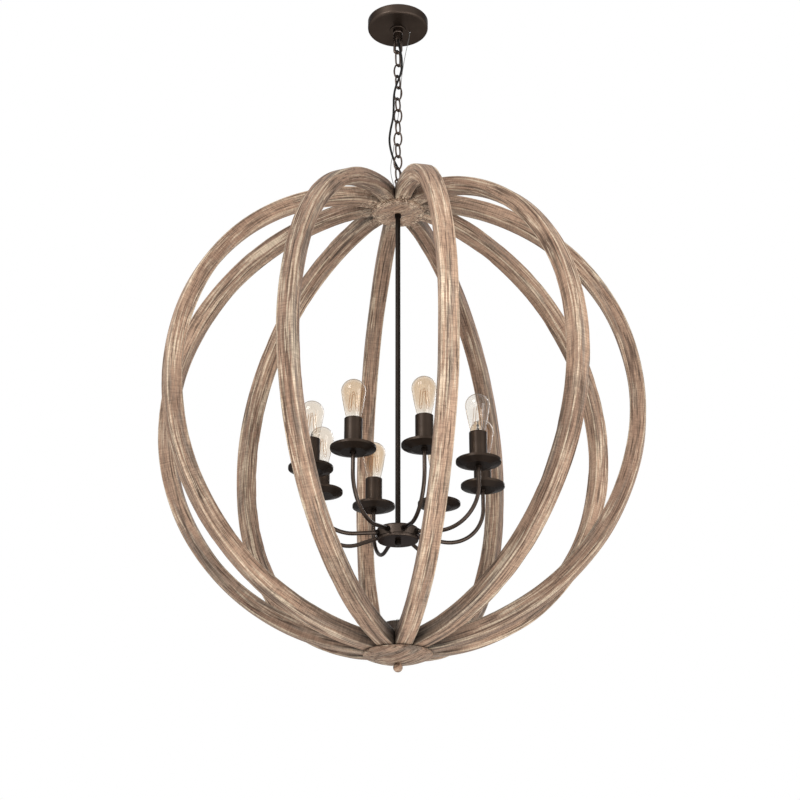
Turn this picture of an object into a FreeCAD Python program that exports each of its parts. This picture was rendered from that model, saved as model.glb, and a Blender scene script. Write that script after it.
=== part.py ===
"""Orb chandelier: ten bent wooden ribs round a cluster of eight candle lamps, hung on a chain.

Millimetres. The origin is the middle of the ceiling plate, on the ceiling plane. +Z is up and
-Y points at the viewer. Heights of the orb's own pieces are counted from the orb's centre.
"""
import FreeCAD, Part
import math
import os

Vec = FreeCAD.Vector

# ---- clearances -----------------------------------------------------------------------------
LOOSE_GAP = 0.3          # between pieces that move against each other
SEAT_GAP = 0.1           # between round pieces that are screwed or glued together
MITRE_GAP = 0.4          # between neighbouring rib ends
CUT_PAST = 1.0           # how far a cutting solid runs past the face that it opens

# ---- ceiling hardware -----------------------------------------------------------------------
CANOPY_DIAMETER = 160.0
CANOPY_DEPTH = 26.0
CANOPY_WALL = 1.2
CANOPY_EDGE_RADIUS = 6.0
CROSSBAR_LENGTH = 112.0
CROSSBAR_WIDTH = 20.0
CROSSBAR_THICKNESS = 2.5
CROSSBAR_CORNER_RADIUS = 5.0
BOX_SCREW_SPACING = 88.9
BOX_SCREW_HOLE_RADIUS = 2.3
NIPPLE_RADIUS = 5.0
NIPPLE_BORE_RADIUS = 3.6
CROSSBAR_NUT_RADIUS = 8.0
CROSSBAR_NUT_HEIGHT = 4.0
CANOPY_WASHER_DIAMETER = 43.0
CANOPY_WASHER_THICKNESS = 3.0
CANOPY_WASHER_EDGE_RADIUS = 1.5
RING_NUT_DIAMETER = 26.0
RING_NUT_HEIGHT = 10.0
RING_NUT_EDGE_RADIUS = 2.5
GROUND_HOLE_X = 31.5
GROUND_HOLE_Y = 11.0
GROUND_HOLE_RADIUS = 2.2

# ---- canopy loop ----------------------------------------------------------------------------
COUPLING_DIAMETER = 22.0
COUPLING_HEIGHT = 22.0
COUPLING_RIB_DIAMETER = 25.0
COUPLING_RIB_HEIGHT = 3.0
COUPLING_RIB_DROP = 8.0
NIPPLE_INSERTION = 15.0
LOOP_WIDTH = 25.0
LOOP_WIRE_DIAMETER = 7.5
LOOP_LEG_LENGTH = 29.2

# ---- chain ----------------------------------------------------------------------------------
LINK_COUNT = 11
LINK_WIRE_DIAMETER = 4.5
LINK_INNER_WIDTH = 15.0
LINK_INNER_LENGTH = 35.2
TOP_LINK_INNER_LENGTH = 43.0
LINK_BOW = 2.25          # how far the sides bow out past the round ends
TOP_LINK_BOW = 0.75
ODD_LINK_TURN = 55.0     # degrees from the loop's own plane
EVEN_LINK_TURN = -10.0

# ---- hub eye --------------------------------------------------------------------------------
EYE_WIRE_DIAMETER = 4.5
EYE_INNER_DIAMETER = 9.0
EYE_SHANK_RADIUS = 7.0
EYE_SHANK_HEIGHT = 5.0
TUBE_RADIUS = 5.0
TUBE_WALL = 1.2
TUBE_SHOWING = 27.7

# ---- wooden ribs ----------------------------------------------------------------------------
RIB_COUNT = 10
RIB_ARC_RADIUS = 581.0
RIB_ARC_OFFSET = 7.0     # the arc's centre lies this far past the orb's axis
RIB_WIDTH = 40.0
RIB_DEPTH = 38.0
RIB_EDGE_RADIUS = 4.0
RIB_BLANK_START = 1.0    # a rib's blank starts this far from the orb's axis
RIB_CREST_START = 13.95  # degrees off the top pole
RIB_CREST_RADIUS = 274.0
RIB_TURNS = (10.8, 43.4, 81.5, 117.0, 153.1, 189.1, 224.0, 260.9, 296.4, 335.9)
DOWEL_RADIUS = 4.0
DOWEL_LENGTH = 30.0
DOWEL_IN_CORE = 14.0

# ---- top hub --------------------------------------------------------------------------------
CORE_RADIUS = 35.0
TOP_CORE_SHOWING = 2.0   # above the ribs
TOP_PLATE_RADIUS = 66.0
TOP_PLATE_THICKNESS = 8.5
PLATE_EDGE_RADIUS = 3.0
HUB_WASHER_RADIUS = 14.0
HUB_WASHER_THICKNESS = 2.5
HUB_NUT_RADIUS = 8.0
HUB_NUT_HEIGHT = 6.0
CORD_HOLE_X = 20.0
CORD_HOLE_Y = 14.0
CORD_HOLE_RADIUS = 3.4
CORD_HOLE_DEPTH = 14.0

# ---- bottom hub -----------------------------------------------------------------------------
BOTTOM_CORE_HEIGHT = 70.0
RIB_SEAT_CUT = 3.0       # taken off the ribs' lowest faces, for a flat seat on the bottom disc
BOTTOM_DISC_RADIUS = 80.0
BOTTOM_DISC_RIM = 5.0
BOTTOM_DISC_DOME = 18.0
BOTTOM_ROD_RADIUS = 4.0
BOTTOM_NUT_RADIUS = 7.5
BOTTOM_NUT_HEIGHT = 6.5
FINIAL_RADIUS = 11.0
FINIAL_NECK_RADIUS = 6.0
FINIAL_THREAD_DEPTH = 12.0

# ---- stem and arm hub -----------------------------------------------------------------------
STEM_RADIUS = 6.35
STEM_WALL = 1.2
STEM_TUBE_OVERLAP = 25.0
COLLAR_RADIUS = 8.2
TOP_COLLAR_HEIGHT = 8.0
BOTTOM_COLLAR_HEIGHT = 9.0
ARM_HUB_TOP_DROP = 297.0
ARM_HUB_RADIUS = 50.0
ARM_HUB_HEIGHT = 24.0
ARM_HUB_WALL = 3.0
ARM_HUB_EDGE_RADIUS = 6.0
ARM_HUB_STEP = 1.5
COVER_RADIUS = 48.0
COVER_THICKNESS = 7.0
COVER_EDGE_RADIUS = 2.5
KNOB_RADIUS = 7.0
KNOB_HEIGHT = 10.0
KNOB_EDGE_RADIUS = 2.3
KNOB_THREAD_DEPTH = 5.0

# ---- arms -----------------------------------------------------------------------------------
ARM_COUNT = 8
FIRST_ARM_TURN = 16.4
CLUSTER_RADIUS = 213.0
ARM_TUBE_RADIUS = 4.75
ARM_TUBE_WALL = 1.0
ARM_HOLE_DROP = 14.0     # below the arm hub's top
ARM_DIP = 8.0            # degrees below the horizontal
ARM_BEND_RADIUS = 95.0
ARM_INSIDE = 3.0         # past the hub's inner wall
ARM_BOSS_RADIUS = 7.0
ARM_BOSS_LENGTH = 5.0

# ---- candle lamps ---------------------------------------------------------------------------
PAN_RIM_DROP = 165.0
PAN_RADIUS = 53.0
PAN_DEPTH = 13.0
PAN_THICKNESS = 1.5
PAN_RIM_HEIGHT = 4.3
PAN_FLOOR_RADIUS = 30.0
PAN_NUT_RADIUS = 6.6
PAN_NUT_HEIGHT = 5.0
SLEEVE_RADIUS = 21.0
SLEEVE_WALL = 1.5
SLEEVE_HEIGHT = 80.5
SOCKET_RADIUS = 17.0
SOCKET_TOP_DROP = 11.3   # below the sleeve's rim
SOCKET_BORE_DEPTH = 30.0
ARM_IN_SOCKET = 14.0
CAP_RADIUS = 13.1
CAP_HEIGHT = 27.0
CAP_EDGE_RADIUS = 4.4
BULB_RADIUS = 29.0
BULB_GLASS_HEIGHT = 112.0
BULB_NECK_RADIUS = 12.6
BULB_WALL = 0.8
BULB_CROWN_DROP = 15.0   # degrees that the round crown runs on below its widest place
BULB_SIDE_BELLY = 1.8

# ---- heights that follow --------------------------------------------------------------------
washer_top = -CANOPY_DEPTH
ring_nut_top = washer_top - CANOPY_WASHER_THICKNESS
coupling_top = ring_nut_top - RING_NUT_HEIGHT
coupling_bottom = coupling_top - COUPLING_HEIGHT
loop_bend_z = coupling_bottom - LOOP_LEG_LENGTH
loop_bend_radius = (LOOP_WIDTH - LOOP_WIRE_DIAMETER) / 2
loop_rod_z = loop_bend_z - loop_bend_radius
link_wire_radius = LINK_WIRE_DIAMETER / 2
loop_wire_radius = LOOP_WIRE_DIAMETER / 2
link_half_width = LINK_INNER_WIDTH / 2 + link_wire_radius


def link_inner_length(number):
    """Inner length of the link with this number, counted from the ceiling."""
    return TOP_LINK_INNER_LENGTH if number == 1 else LINK_INNER_LENGTH


def link_turn(number):
    """Turn of the link's plane about the chain, in degrees."""
    return ODD_LINK_TURN if number % 2 else EVEN_LINK_TURN


def link_rod_z(number):
    """Height of the middle of the bottom rod of a link, or of the loop for number 0."""
    if number == 0:
        return loop_rod_z
    rod_above = loop_wire_radius if number == 1 else link_wire_radius
    inner_top = link_rod_z(number - 1) + rod_above + LOOSE_GAP
    return inner_top - link_inner_length(number) - link_wire_radius


eye_wire_radius = EYE_WIRE_DIAMETER / 2
eye_ring_radius = EYE_INNER_DIAMETER / 2 + eye_wire_radius
eye_centre_z = link_rod_z(LINK_COUNT) + link_wire_radius + LOOSE_GAP + eye_wire_radius - eye_ring_radius
shank_top = eye_centre_z - eye_ring_radius
shank_bottom = shank_top - EYE_SHANK_HEIGHT

crest_start = math.radians(RIB_CREST_START)
crest_start_r = RIB_ARC_RADIUS * math.sin(crest_start) - RIB_ARC_OFFSET
crest_start_z = RIB_ARC_RADIUS * math.cos(crest_start)
crest_centre_r = crest_start_r - RIB_CREST_RADIUS * math.sin(crest_start)
crest_centre_z = crest_start_z - RIB_CREST_RADIUS * math.cos(crest_start)
crest_z = crest_centre_z + RIB_CREST_RADIUS
plate_top = crest_z - RIB_DEPTH / 2
plate_bottom = plate_top - TOP_PLATE_THICKNESS
core_top = crest_z + RIB_DEPTH / 2 + TOP_CORE_SHOWING
hub_washer_top = core_top + HUB_WASHER_THICKNESS
hub_nut_top = hub_washer_top + HUB_NUT_HEIGHT
orb_centre_z = shank_bottom - TUBE_SHOWING - hub_nut_top

arm_hub_top = -ARM_HUB_TOP_DROP
arm_hub_bottom = arm_hub_top - ARM_HUB_HEIGHT
cover_bottom = arm_hub_bottom - COVER_THICKNESS
knob_bottom = cover_bottom - KNOB_HEIGHT
arm_hole_z = arm_hub_top - ARM_HOLE_DROP
pan_floor_top = -PAN_RIM_DROP - PAN_DEPTH + PAN_THICKNESS
pan_bottom = -PAN_RIM_DROP - PAN_DEPTH
sleeve_top = pan_floor_top + SLEEVE_HEIGHT
socket_top = sleeve_top - SOCKET_TOP_DROP
socket_seat = socket_top - SOCKET_BORE_DEPTH
cap_bottom = socket_seat + LOOSE_GAP
glass_bottom = cap_bottom + CAP_HEIGHT

seat_z = RIB_SEAT_CUT - RIB_ARC_RADIUS - RIB_DEPTH / 2
disc_bottom = seat_z - BOTTOM_DISC_RIM - BOTTOM_DISC_DOME
bottom_core_top = seat_z + BOTTOM_CORE_HEIGHT
dome_radius = (BOTTOM_DISC_RADIUS ** 2 + BOTTOM_DISC_DOME ** 2) / (2 * BOTTOM_DISC_DOME)
dome_centre = disc_bottom + dome_radius
finial_seat = dome_centre - math.sqrt(dome_radius ** 2 - FINIAL_NECK_RADIUS ** 2)
finial_centre = finial_seat - math.sqrt(FINIAL_RADIUS ** 2 - FINIAL_NECK_RADIUS ** 2)

stem_bore_radius = STEM_RADIUS - STEM_WALL
cord_hole_floor = core_top - CORD_HOLE_DEPTH + orb_centre_z
TOOL_REACH = 2 * RIB_ARC_RADIUS    # cutting solids reach past the whole orb

# ---- cords ----------------------------------------------------------------------------------
SUPPLY_CORD_RADIUS = 2.8
SUPPLY_CORD_ROUTE = (
    (0, 0, -44), (0, 0, -64), (4, -9, -86), (10, -11, -118), (11, -12, -152),
    (5, -16.5, -184), (-5, -16.5, -211), (-11, -12.5, -240), (-11, -10, -274), (-12, -9, -306),
    (-19, -6, -338), (-23, 0, -370), (-17, 7, -402), (-7, 12, -430), (7, 16, -455),
    (18, 16, -483), (CORD_HOLE_X, CORD_HOLE_Y, -521), (CORD_HOLE_X, CORD_HOLE_Y, cord_hole_floor),
)
GROUND_WIRE_RADIUS = 0.8
GROUND_WIRE_ROUTE = (
    (GROUND_HOLE_X, GROUND_HOLE_Y, -20), (GROUND_HOLE_X, GROUND_HOLE_Y, -36), (25, 11, -66),
    (16, 12, -118), (9, 14, -170), (7, 15, -216), (4, 15, -262), (-2, 15.5, -306), (-8, 17, -352),
    (-12, 18, -392), (-19, 15, -434), (-18, 9, -468), (-9, 7, -504),
    (-9, 7, hub_washer_top + orb_centre_z),
)
ROUTE_ARC_SHARE = 0.45   # of the shorter run beside each corner


# ---- shape helpers --------------------------------------------------------------------------
def cylinder(radius, low, high, x=0.0, y=0.0):
    """Upright cylinder between two heights."""
    return Part.makeCylinder(radius, high - low, Vec(x, y, low))


def tube(inner, outer, low, high):
    """Upright tube between two heights."""
    return cylinder(outer, low, high).cut(cylinder(inner, low - CUT_PAST, high + CUT_PAST))


def half_ring(bend_radius, wire_radius, centre_z):
    """Lower half of an upright ring of round wire, in the XZ plane."""
    ring = Part.makeTorus(bend_radius, wire_radius, Vec(0, 0, 0), Vec(0, -1, 0), -180, 180, 180)
    ring.rotate(Vec(0, 0, 0), Vec(0, 1, 0), 90)
    ring.translate(Vec(0, 0, centre_z))
    return ring


def hexagon(radius, bore, low, high):
    """Hexagonal nut, radius to its flats, with a round bore."""
    corner = radius / math.cos(math.radians(30))
    angles = [math.radians(60 * side) for side in range(7)]
    outline = Part.makePolygon([Vec(corner * math.cos(a), corner * math.sin(a), low) for a in angles])
    body = Part.Face(outline).extrude(Vec(0, 0, high - low))
    return body.cut(cylinder(bore, low - CUT_PAST, high + CUT_PAST))


def line(start, end):
    """Straight edge between two (radius, height) points."""
    return Part.makeLine(Vec(start[0], 0, start[1]), Vec(end[0], 0, end[1]))


def arc(start, through, end):
    """Arc edge through three (radius, height) points."""
    points = [Vec(p[0], 0, p[1]) for p in (start, through, end)]
    return Part.Arc(*points).toShape()


def turned(edges):
    """Solid turned about Z from the closed outline that the edges make."""
    face = Part.Face(Part.Wire(edges))
    return face.revolve(Vec(0, 0, 0), Vec(0, 0, 1), 360)


def turned_lines(points):
    """Solid turned about Z from a closed outline of straight lines."""
    ends = points[1:] + points[:1]
    return turned([line(start, end) for start, end in zip(points, ends)])


def rounded(solid, radius, height, edge_radius):
    """The solid with its circular edge at this radius and height rounded."""
    def is_rim(edge):
        curve = edge.Curve
        return (isinstance(curve, Part.Circle) and abs(curve.Radius - radius) < 0.01
                and abs(curve.Center.z - height) < 0.01)
    return solid.makeFillet(edge_radius, [edge for edge in solid.Edges if is_rim(edge)])


def placed(shape, turn=0.0, x=0.0, z=0.0):
    """A copy moved out to radius x and up by z, then turned about Z."""
    copy = shape.copy()
    copy.translate(Vec(x, 0, z))
    copy.rotate(Vec(0, 0, 0), Vec(0, 0, 1), turn)
    return copy


def facing(turn):
    """Turn about Z that brings +X to a direction counted from -Y towards +X."""
    return turn - 90.0


# ---- ceiling hardware -----------------------------------------------------------------------
def make_crossbar():
    bar = Part.makeBox(CROSSBAR_LENGTH, CROSSBAR_WIDTH, CROSSBAR_THICKNESS,
                       Vec(-CROSSBAR_LENGTH / 2, -CROSSBAR_WIDTH / 2, -CROSSBAR_THICKNESS))
    corners = [e for e in bar.Edges if abs(e.tangentAt(e.FirstParameter).z) > 0.5]
    bar = bar.makeFillet(CROSSBAR_CORNER_RADIUS, corners)
    bar = bar.cut(cylinder(NIPPLE_RADIUS + SEAT_GAP, -CROSSBAR_THICKNESS - CUT_PAST, CUT_PAST))
    for side in (-1, 1):
        x = side * BOX_SCREW_SPACING / 2
        bar = bar.cut(cylinder(BOX_SCREW_HOLE_RADIUS, -CROSSBAR_THICKNESS - CUT_PAST, CUT_PAST, x))
    return bar


def make_crossbar_nut():
    top = -CROSSBAR_THICKNESS
    return hexagon(CROSSBAR_NUT_RADIUS, NIPPLE_RADIUS + SEAT_GAP, top - CROSSBAR_NUT_HEIGHT, top)


def make_canopy_nipple():
    return tube(NIPPLE_BORE_RADIUS, NIPPLE_RADIUS, coupling_top - NIPPLE_INSERTION, 0)


def make_canopy_shell():
    radius = CANOPY_DIAMETER / 2
    outer = rounded(cylinder(radius, -CANOPY_DEPTH, 0), radius, -CANOPY_DEPTH, CANOPY_EDGE_RADIUS)
    inner_radius = radius - CANOPY_WALL
    inner_floor = CANOPY_WALL - CANOPY_DEPTH
    inner = rounded(cylinder(inner_radius, inner_floor, CUT_PAST), inner_radius, inner_floor,
                    CANOPY_EDGE_RADIUS - CANOPY_WALL)
    shell = outer.cut(inner)
    shell = shell.cut(cylinder(NIPPLE_RADIUS + SEAT_GAP, -CANOPY_DEPTH - CUT_PAST, 0))
    return shell.cut(cylinder(GROUND_HOLE_RADIUS, -CANOPY_DEPTH - CUT_PAST, 0, GROUND_HOLE_X, GROUND_HOLE_Y))


def make_canopy_washer():
    radius = CANOPY_WASHER_DIAMETER / 2
    washer = tube(NIPPLE_RADIUS + SEAT_GAP, radius, ring_nut_top, washer_top)
    return rounded(washer, radius, ring_nut_top, CANOPY_WASHER_EDGE_RADIUS)


def make_canopy_ring_nut():
    radius = RING_NUT_DIAMETER / 2
    nut = tube(NIPPLE_RADIUS + SEAT_GAP, radius, coupling_top, ring_nut_top)
    return rounded(nut, radius, coupling_top, RING_NUT_EDGE_RADIUS)


def make_canopy_loop():
    """Coupling that screws on the nipple, with the U-shaped loop that carries the chain."""
    body = cylinder(COUPLING_DIAMETER / 2, coupling_bottom, coupling_top)
    for step in (1, 2):
        low = coupling_top - step * COUPLING_RIB_DROP
        body = body.fuse(cylinder(COUPLING_RIB_DIAMETER / 2, low, low + COUPLING_RIB_HEIGHT))
    body = body.cut(cylinder(NIPPLE_RADIUS + SEAT_GAP, coupling_top - NIPPLE_INSERTION,
                             coupling_top + CUT_PAST))
    body = body.cut(cylinder(NIPPLE_BORE_RADIUS, coupling_bottom - CUT_PAST, coupling_top + CUT_PAST))
    for side in (-1, 1):
        x = side * loop_bend_radius
        body = body.fuse(cylinder(loop_wire_radius, loop_bend_z, coupling_bottom + loop_wire_radius, x))
    loop = body.fuse(half_ring(loop_bend_radius, loop_wire_radius, loop_bend_z)).removeSplitter()
    return placed(loop, link_turn(0))


# ---- chain ----------------------------------------------------------------------------------
def bent_wire(centre_x, centre_z, bend_radius, start_angle, sweep):
    """Arc of the link's wire in the XZ plane, angles in degrees from +X towards +Z."""
    start = math.radians(start_angle)
    middle = Vec(centre_x + bend_radius * math.cos(start), 0, centre_z + bend_radius * math.sin(start))
    along = Vec(-math.sin(start), 0, math.cos(start))
    disc = Part.Face(Part.Wire(Part.makeCircle(link_wire_radius, middle, along)))
    return disc.revolve(Vec(centre_x, 0, centre_z), Vec(0, -1, 0), sweep)


def make_link(number):
    """Oval link of round wire, turned about the chain and hung on the one above: two round ends
    and two bowed sides, each arc tangent to the next."""
    bow = TOP_LINK_BOW if number == 1 else LINK_BOW
    end_radius = link_half_width - bow
    half_length = link_inner_length(number) / 2 + link_wire_radius
    reach = half_length - end_radius
    side_radius = (link_half_width ** 2 + reach ** 2 - end_radius ** 2) / (2 * bow)
    side_centre = side_radius - link_half_width
    meeting = math.degrees(math.atan2(reach, side_centre))
    middle_z = link_rod_z(number) + half_length
    link = bent_wire(-side_centre, middle_z, side_radius, -meeting, 2 * meeting)
    link = link.fuse(bent_wire(0, middle_z + reach, end_radius, meeting, 180 - 2 * meeting))
    link = link.fuse(bent_wire(side_centre, middle_z, side_radius, 180 - meeting, 2 * meeting))
    link = link.fuse(bent_wire(0, middle_z - reach, end_radius, 180 + meeting, 180 - 2 * meeting))
    return placed(link.removeSplitter(), link_turn(number))


# ---- pieces of the orb, built about its centre ------------------------------------------------
def make_hub_eye():
    """Ring on a round shank, screwed on the top of the hub tube and turned as a next link would be."""
    low = shank_bottom - orb_centre_z
    high = shank_top - orb_centre_z
    ring = Part.makeTorus(eye_ring_radius, eye_wire_radius, Vec(0, 0, eye_centre_z - orb_centre_z),
                          Vec(0, 1, 0))
    shank = cylinder(EYE_SHANK_RADIUS, low, high + eye_wire_radius)
    shank = rounded(shank, EYE_SHANK_RADIUS, high + eye_wire_radius, eye_wire_radius)
    eye = shank.fuse(ring).removeSplitter()
    eye = eye.cut(cylinder(TUBE_RADIUS + SEAT_GAP, low - CUT_PAST, high - eye_wire_radius))
    return placed(eye, link_turn(LINK_COUNT + 1))


def make_hub_tube():
    low = plate_bottom - STEM_TUBE_OVERLAP
    high = shank_top - orb_centre_z - eye_wire_radius
    return tube(TUBE_RADIUS - TUBE_WALL, TUBE_RADIUS, low, high)


def make_hub_washer():
    return tube(TUBE_RADIUS + SEAT_GAP, HUB_WASHER_RADIUS, core_top, hub_washer_top)


def make_hub_nut():
    return hexagon(HUB_NUT_RADIUS, TUBE_RADIUS + SEAT_GAP, hub_washer_top, hub_nut_top)


def dowel_at(turn, low_end, height):
    """Radial dowel, half in a core and half in a rib end."""
    dowel = Part.makeCylinder(DOWEL_RADIUS, DOWEL_LENGTH, Vec(low_end, 0, height), Vec(1, 0, 0))
    return placed(dowel, facing(turn))


def top_dowels():
    start = CORE_RADIUS - DOWEL_IN_CORE
    return [dowel_at(turn, start, crest_z) for turn in RIB_TURNS]


def bottom_dowels():
    start = CORE_RADIUS - DOWEL_IN_CORE
    height = -RIB_ARC_RADIUS + DOWEL_RADIUS
    return [dowel_at(turn, start, height) for turn in RIB_TURNS]


def make_rib_dowels():
    return Part.makeCompound(top_dowels() + bottom_dowels())


def make_top_hub():
    """Turned core and plate in one: the plate carries the rib ends, the core parts them."""
    core = cylinder(CORE_RADIUS, plate_top - CUT_PAST, core_top)
    core = rounded(core, CORE_RADIUS, core_top, PLATE_EDGE_RADIUS)
    plate = cylinder(TOP_PLATE_RADIUS, plate_bottom, plate_top)
    plate = rounded(plate, TOP_PLATE_RADIUS, plate_bottom, PLATE_EDGE_RADIUS)
    hub = plate.fuse(core).removeSplitter()
    hub = hub.cut(cylinder(TUBE_RADIUS + SEAT_GAP, plate_bottom - CUT_PAST, core_top + CUT_PAST))
    hub = hub.cut(cylinder(CORD_HOLE_RADIUS, core_top - CORD_HOLE_DEPTH, core_top + CUT_PAST,
                           CORD_HOLE_X, CORD_HOLE_Y))
    return hub.cut(top_dowels())


def make_bottom_core():
    core = cylinder(CORE_RADIUS, seat_z, bottom_core_top)
    core = rounded(core, CORE_RADIUS, bottom_core_top, PLATE_EDGE_RADIUS)
    core = core.cut(cylinder(BOTTOM_ROD_RADIUS + SEAT_GAP, seat_z - CUT_PAST,
                             bottom_core_top + CUT_PAST))
    return core.cut(bottom_dowels())


def make_bottom_disc():
    """Turned disc with a straight rim and a shallow dome below."""
    bore = BOTTOM_ROD_RADIUS + SEAT_GAP
    rim_z = seat_z - BOTTOM_DISC_RIM
    neck = FINIAL_NECK_RADIUS
    half = BOTTOM_DISC_RADIUS / 2
    half_z = dome_centre - math.sqrt(dome_radius ** 2 - half ** 2)
    return turned([
        line((bore, seat_z), (BOTTOM_DISC_RADIUS, seat_z)),
        line((BOTTOM_DISC_RADIUS, seat_z), (BOTTOM_DISC_RADIUS, rim_z)),
        arc((BOTTOM_DISC_RADIUS, rim_z), (half, half_z), (neck, finial_seat)),
        line((neck, finial_seat), (bore, finial_seat)),
        line((bore, finial_seat), (bore, seat_z)),
    ])


def make_bottom_rod():
    """Threaded rod that draws the finial, disc and core together, with its nut on top."""
    low = finial_centre + FINIAL_RADIUS - FINIAL_THREAD_DEPTH
    rod = cylinder(BOTTOM_ROD_RADIUS, low, bottom_core_top + BOTTOM_NUT_HEIGHT + BOTTOM_ROD_RADIUS)
    nut = hexagon(BOTTOM_NUT_RADIUS, BOTTOM_ROD_RADIUS + SEAT_GAP, bottom_core_top,
                  bottom_core_top + BOTTOM_NUT_HEIGHT)
    return Part.makeCompound([rod, nut])


def make_finial_ball():
    ball = Part.makeSphere(FINIAL_RADIUS, Vec(0, 0, finial_centre))
    ball = ball.cut(cylinder(FINIAL_RADIUS + CUT_PAST, finial_seat, finial_seat + FINIAL_RADIUS))
    low = finial_centre + FINIAL_RADIUS - FINIAL_THREAD_DEPTH
    return ball.cut(cylinder(BOTTOM_ROD_RADIUS + SEAT_GAP, low, finial_seat + CUT_PAST))


def rib_path():
    """Middle line of a rib in the XZ plane: bottom pole, long arc, crest arc, straight end."""
    start_r = RIB_BLANK_START
    low_angle = math.asin((start_r + RIB_ARC_OFFSET) / RIB_ARC_RADIUS)

    def on_arc(angle):
        return (RIB_ARC_RADIUS * math.sin(angle) - RIB_ARC_OFFSET, -RIB_ARC_RADIUS * math.cos(angle))

    top_angle = math.pi - crest_start
    start = on_arc(low_angle)
    middle = on_arc((low_angle + top_angle) / 2)
    end = (crest_start_r, crest_start_z)
    half = crest_start / 2
    crest_middle = (crest_centre_r + RIB_CREST_RADIUS * math.sin(half),
                    crest_centre_z + RIB_CREST_RADIUS * math.cos(half))
    crest = (crest_centre_r, crest_z)
    return start, [arc(start, middle, end), arc(end, crest_middle, crest), line(crest, (start_r, crest_z))]


def rib_section(start):
    """Rounded rectangle, square to the path at its start point."""
    tilt = math.asin((start[0] + RIB_ARC_OFFSET) / RIB_ARC_RADIUS)
    bar = Part.makeBox(1, RIB_WIDTH, RIB_DEPTH, Vec(0, -RIB_WIDTH / 2, -RIB_DEPTH / 2))
    long_edges = [e for e in bar.Edges if abs(e.tangentAt(e.FirstParameter).x) > 0.5]
    bar = bar.makeFillet(RIB_EDGE_RADIUS, long_edges)
    face = min(bar.Faces, key=lambda f: f.CenterOfMass.x)
    wire = face.OuterWire.copy()
    wire.rotate(Vec(0, 0, 0), Vec(0, 1, 0), -math.degrees(tilt))
    wire.translate(Vec(start[0], 0, start[1]))
    return wire


def full_rib():
    """Whole rib in the XZ plane, before its ends are mitred."""
    start, edges = rib_path()
    shell = Part.BRepOffsetAPI.MakePipeShell(Part.Wire(edges))
    shell.setFrenetMode(True)
    shell.add(rib_section(start))
    shell.build()
    shell.makeSolid()
    rib = shell.shape()
    below_seat = cylinder(BOTTOM_DISC_RADIUS * 2, seat_z - RIB_DEPTH * 2, seat_z)
    rib = rib.cut(below_seat)
    return rib.cut(cylinder(CORE_RADIUS + SEAT_GAP, -TOOL_REACH, TOOL_REACH))


def wedge(left_angle, right_angle):
    """Upright wedge about +X between two side planes, each half a mitre gap inside its angle."""
    half_gap = MITRE_GAP / 2
    left = math.radians(left_angle)
    right = math.radians(-right_angle)
    spread = math.sin(left - right)
    apex_x = half_gap * (math.cos(right) + math.cos(left)) / spread
    apex_y = half_gap * (math.sin(right) + math.sin(left)) / spread
    corners = [
        Vec(apex_x, apex_y, -TOOL_REACH),
        Vec(apex_x + TOOL_REACH * math.cos(right), apex_y + TOOL_REACH * math.sin(right), -TOOL_REACH),
        Vec(apex_x + TOOL_REACH * math.cos(left), apex_y + TOOL_REACH * math.sin(left), -TOOL_REACH),
    ]
    face = Part.Face(Part.makePolygon(corners + corners[:1]))
    return face.extrude(Vec(0, 0, 2 * TOOL_REACH))


def make_rib(number, blank):
    """One rib, mitred half way to each neighbour and turned to its place."""
    here = RIB_TURNS[number]
    following = RIB_TURNS[(number + 1) % RIB_COUNT]
    before = RIB_TURNS[(number - 1) % RIB_COUNT]
    to_following = ((following - here) % 360) / 2
    to_before = ((here - before) % 360) / 2
    rib = placed(blank.common(wedge(to_following, to_before)), facing(here))
    return rib.cut([top_dowels()[number], bottom_dowels()[number]])


# ---- stem and arm hub -----------------------------------------------------------------------
def make_stem():
    return tube(stem_bore_radius, STEM_RADIUS, arm_hub_top, plate_bottom)


def make_stem_collars():
    inner = STEM_RADIUS + SEAT_GAP
    top = tube(inner, COLLAR_RADIUS, plate_bottom - TOP_COLLAR_HEIGHT, plate_bottom)
    bottom = tube(inner, COLLAR_RADIUS, arm_hub_top, arm_hub_top + BOTTOM_COLLAR_HEIGHT)
    return Part.makeCompound([top, bottom])


def arm_turns():
    return [FIRST_ARM_TURN + 360.0 / ARM_COUNT * arm for arm in range(ARM_COUNT)]


def around(shape, x=0.0, z=0.0):
    """Copies of one shape, one for each arm, at radius x."""
    return [placed(shape, facing(turn), x, z) for turn in arm_turns()]


def arm_axis_cylinder(radius, start_r, end_r):
    """Cylinder along the sloping first run of an arm, between two radii from the stem."""
    slope = math.radians(ARM_DIP)
    direction = Vec(math.cos(slope), 0, -math.sin(slope))
    wall_r = ARM_HUB_RADIUS
    start = Vec(start_r, 0, arm_hole_z - (start_r - wall_r) * math.tan(slope))
    return Part.makeCylinder(radius, (end_r - start_r) / math.cos(slope), start, direction)


def make_arm_hub_body():
    body = cylinder(ARM_HUB_RADIUS, arm_hub_bottom, arm_hub_top)
    body = rounded(body, ARM_HUB_RADIUS, arm_hub_top, ARM_HUB_EDGE_RADIUS)
    inner = ARM_HUB_RADIUS - ARM_HUB_WALL
    hollow = cylinder(inner, arm_hub_bottom - CUT_PAST, arm_hub_top - ARM_HUB_WALL)
    hollow = rounded(hollow, inner, arm_hub_top - ARM_HUB_WALL, ARM_HUB_WALL)
    body = body.cut(hollow)
    body = body.cut(cylinder(stem_bore_radius, arm_hub_top - ARM_HUB_WALL - CUT_PAST,
                             arm_hub_top + CUT_PAST))
    hole = arm_axis_cylinder(ARM_TUBE_RADIUS + SEAT_GAP, inner - ARM_HUB_WALL, ARM_HUB_RADIUS + ARM_HUB_WALL)
    return body.cut(around(hole))


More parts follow.
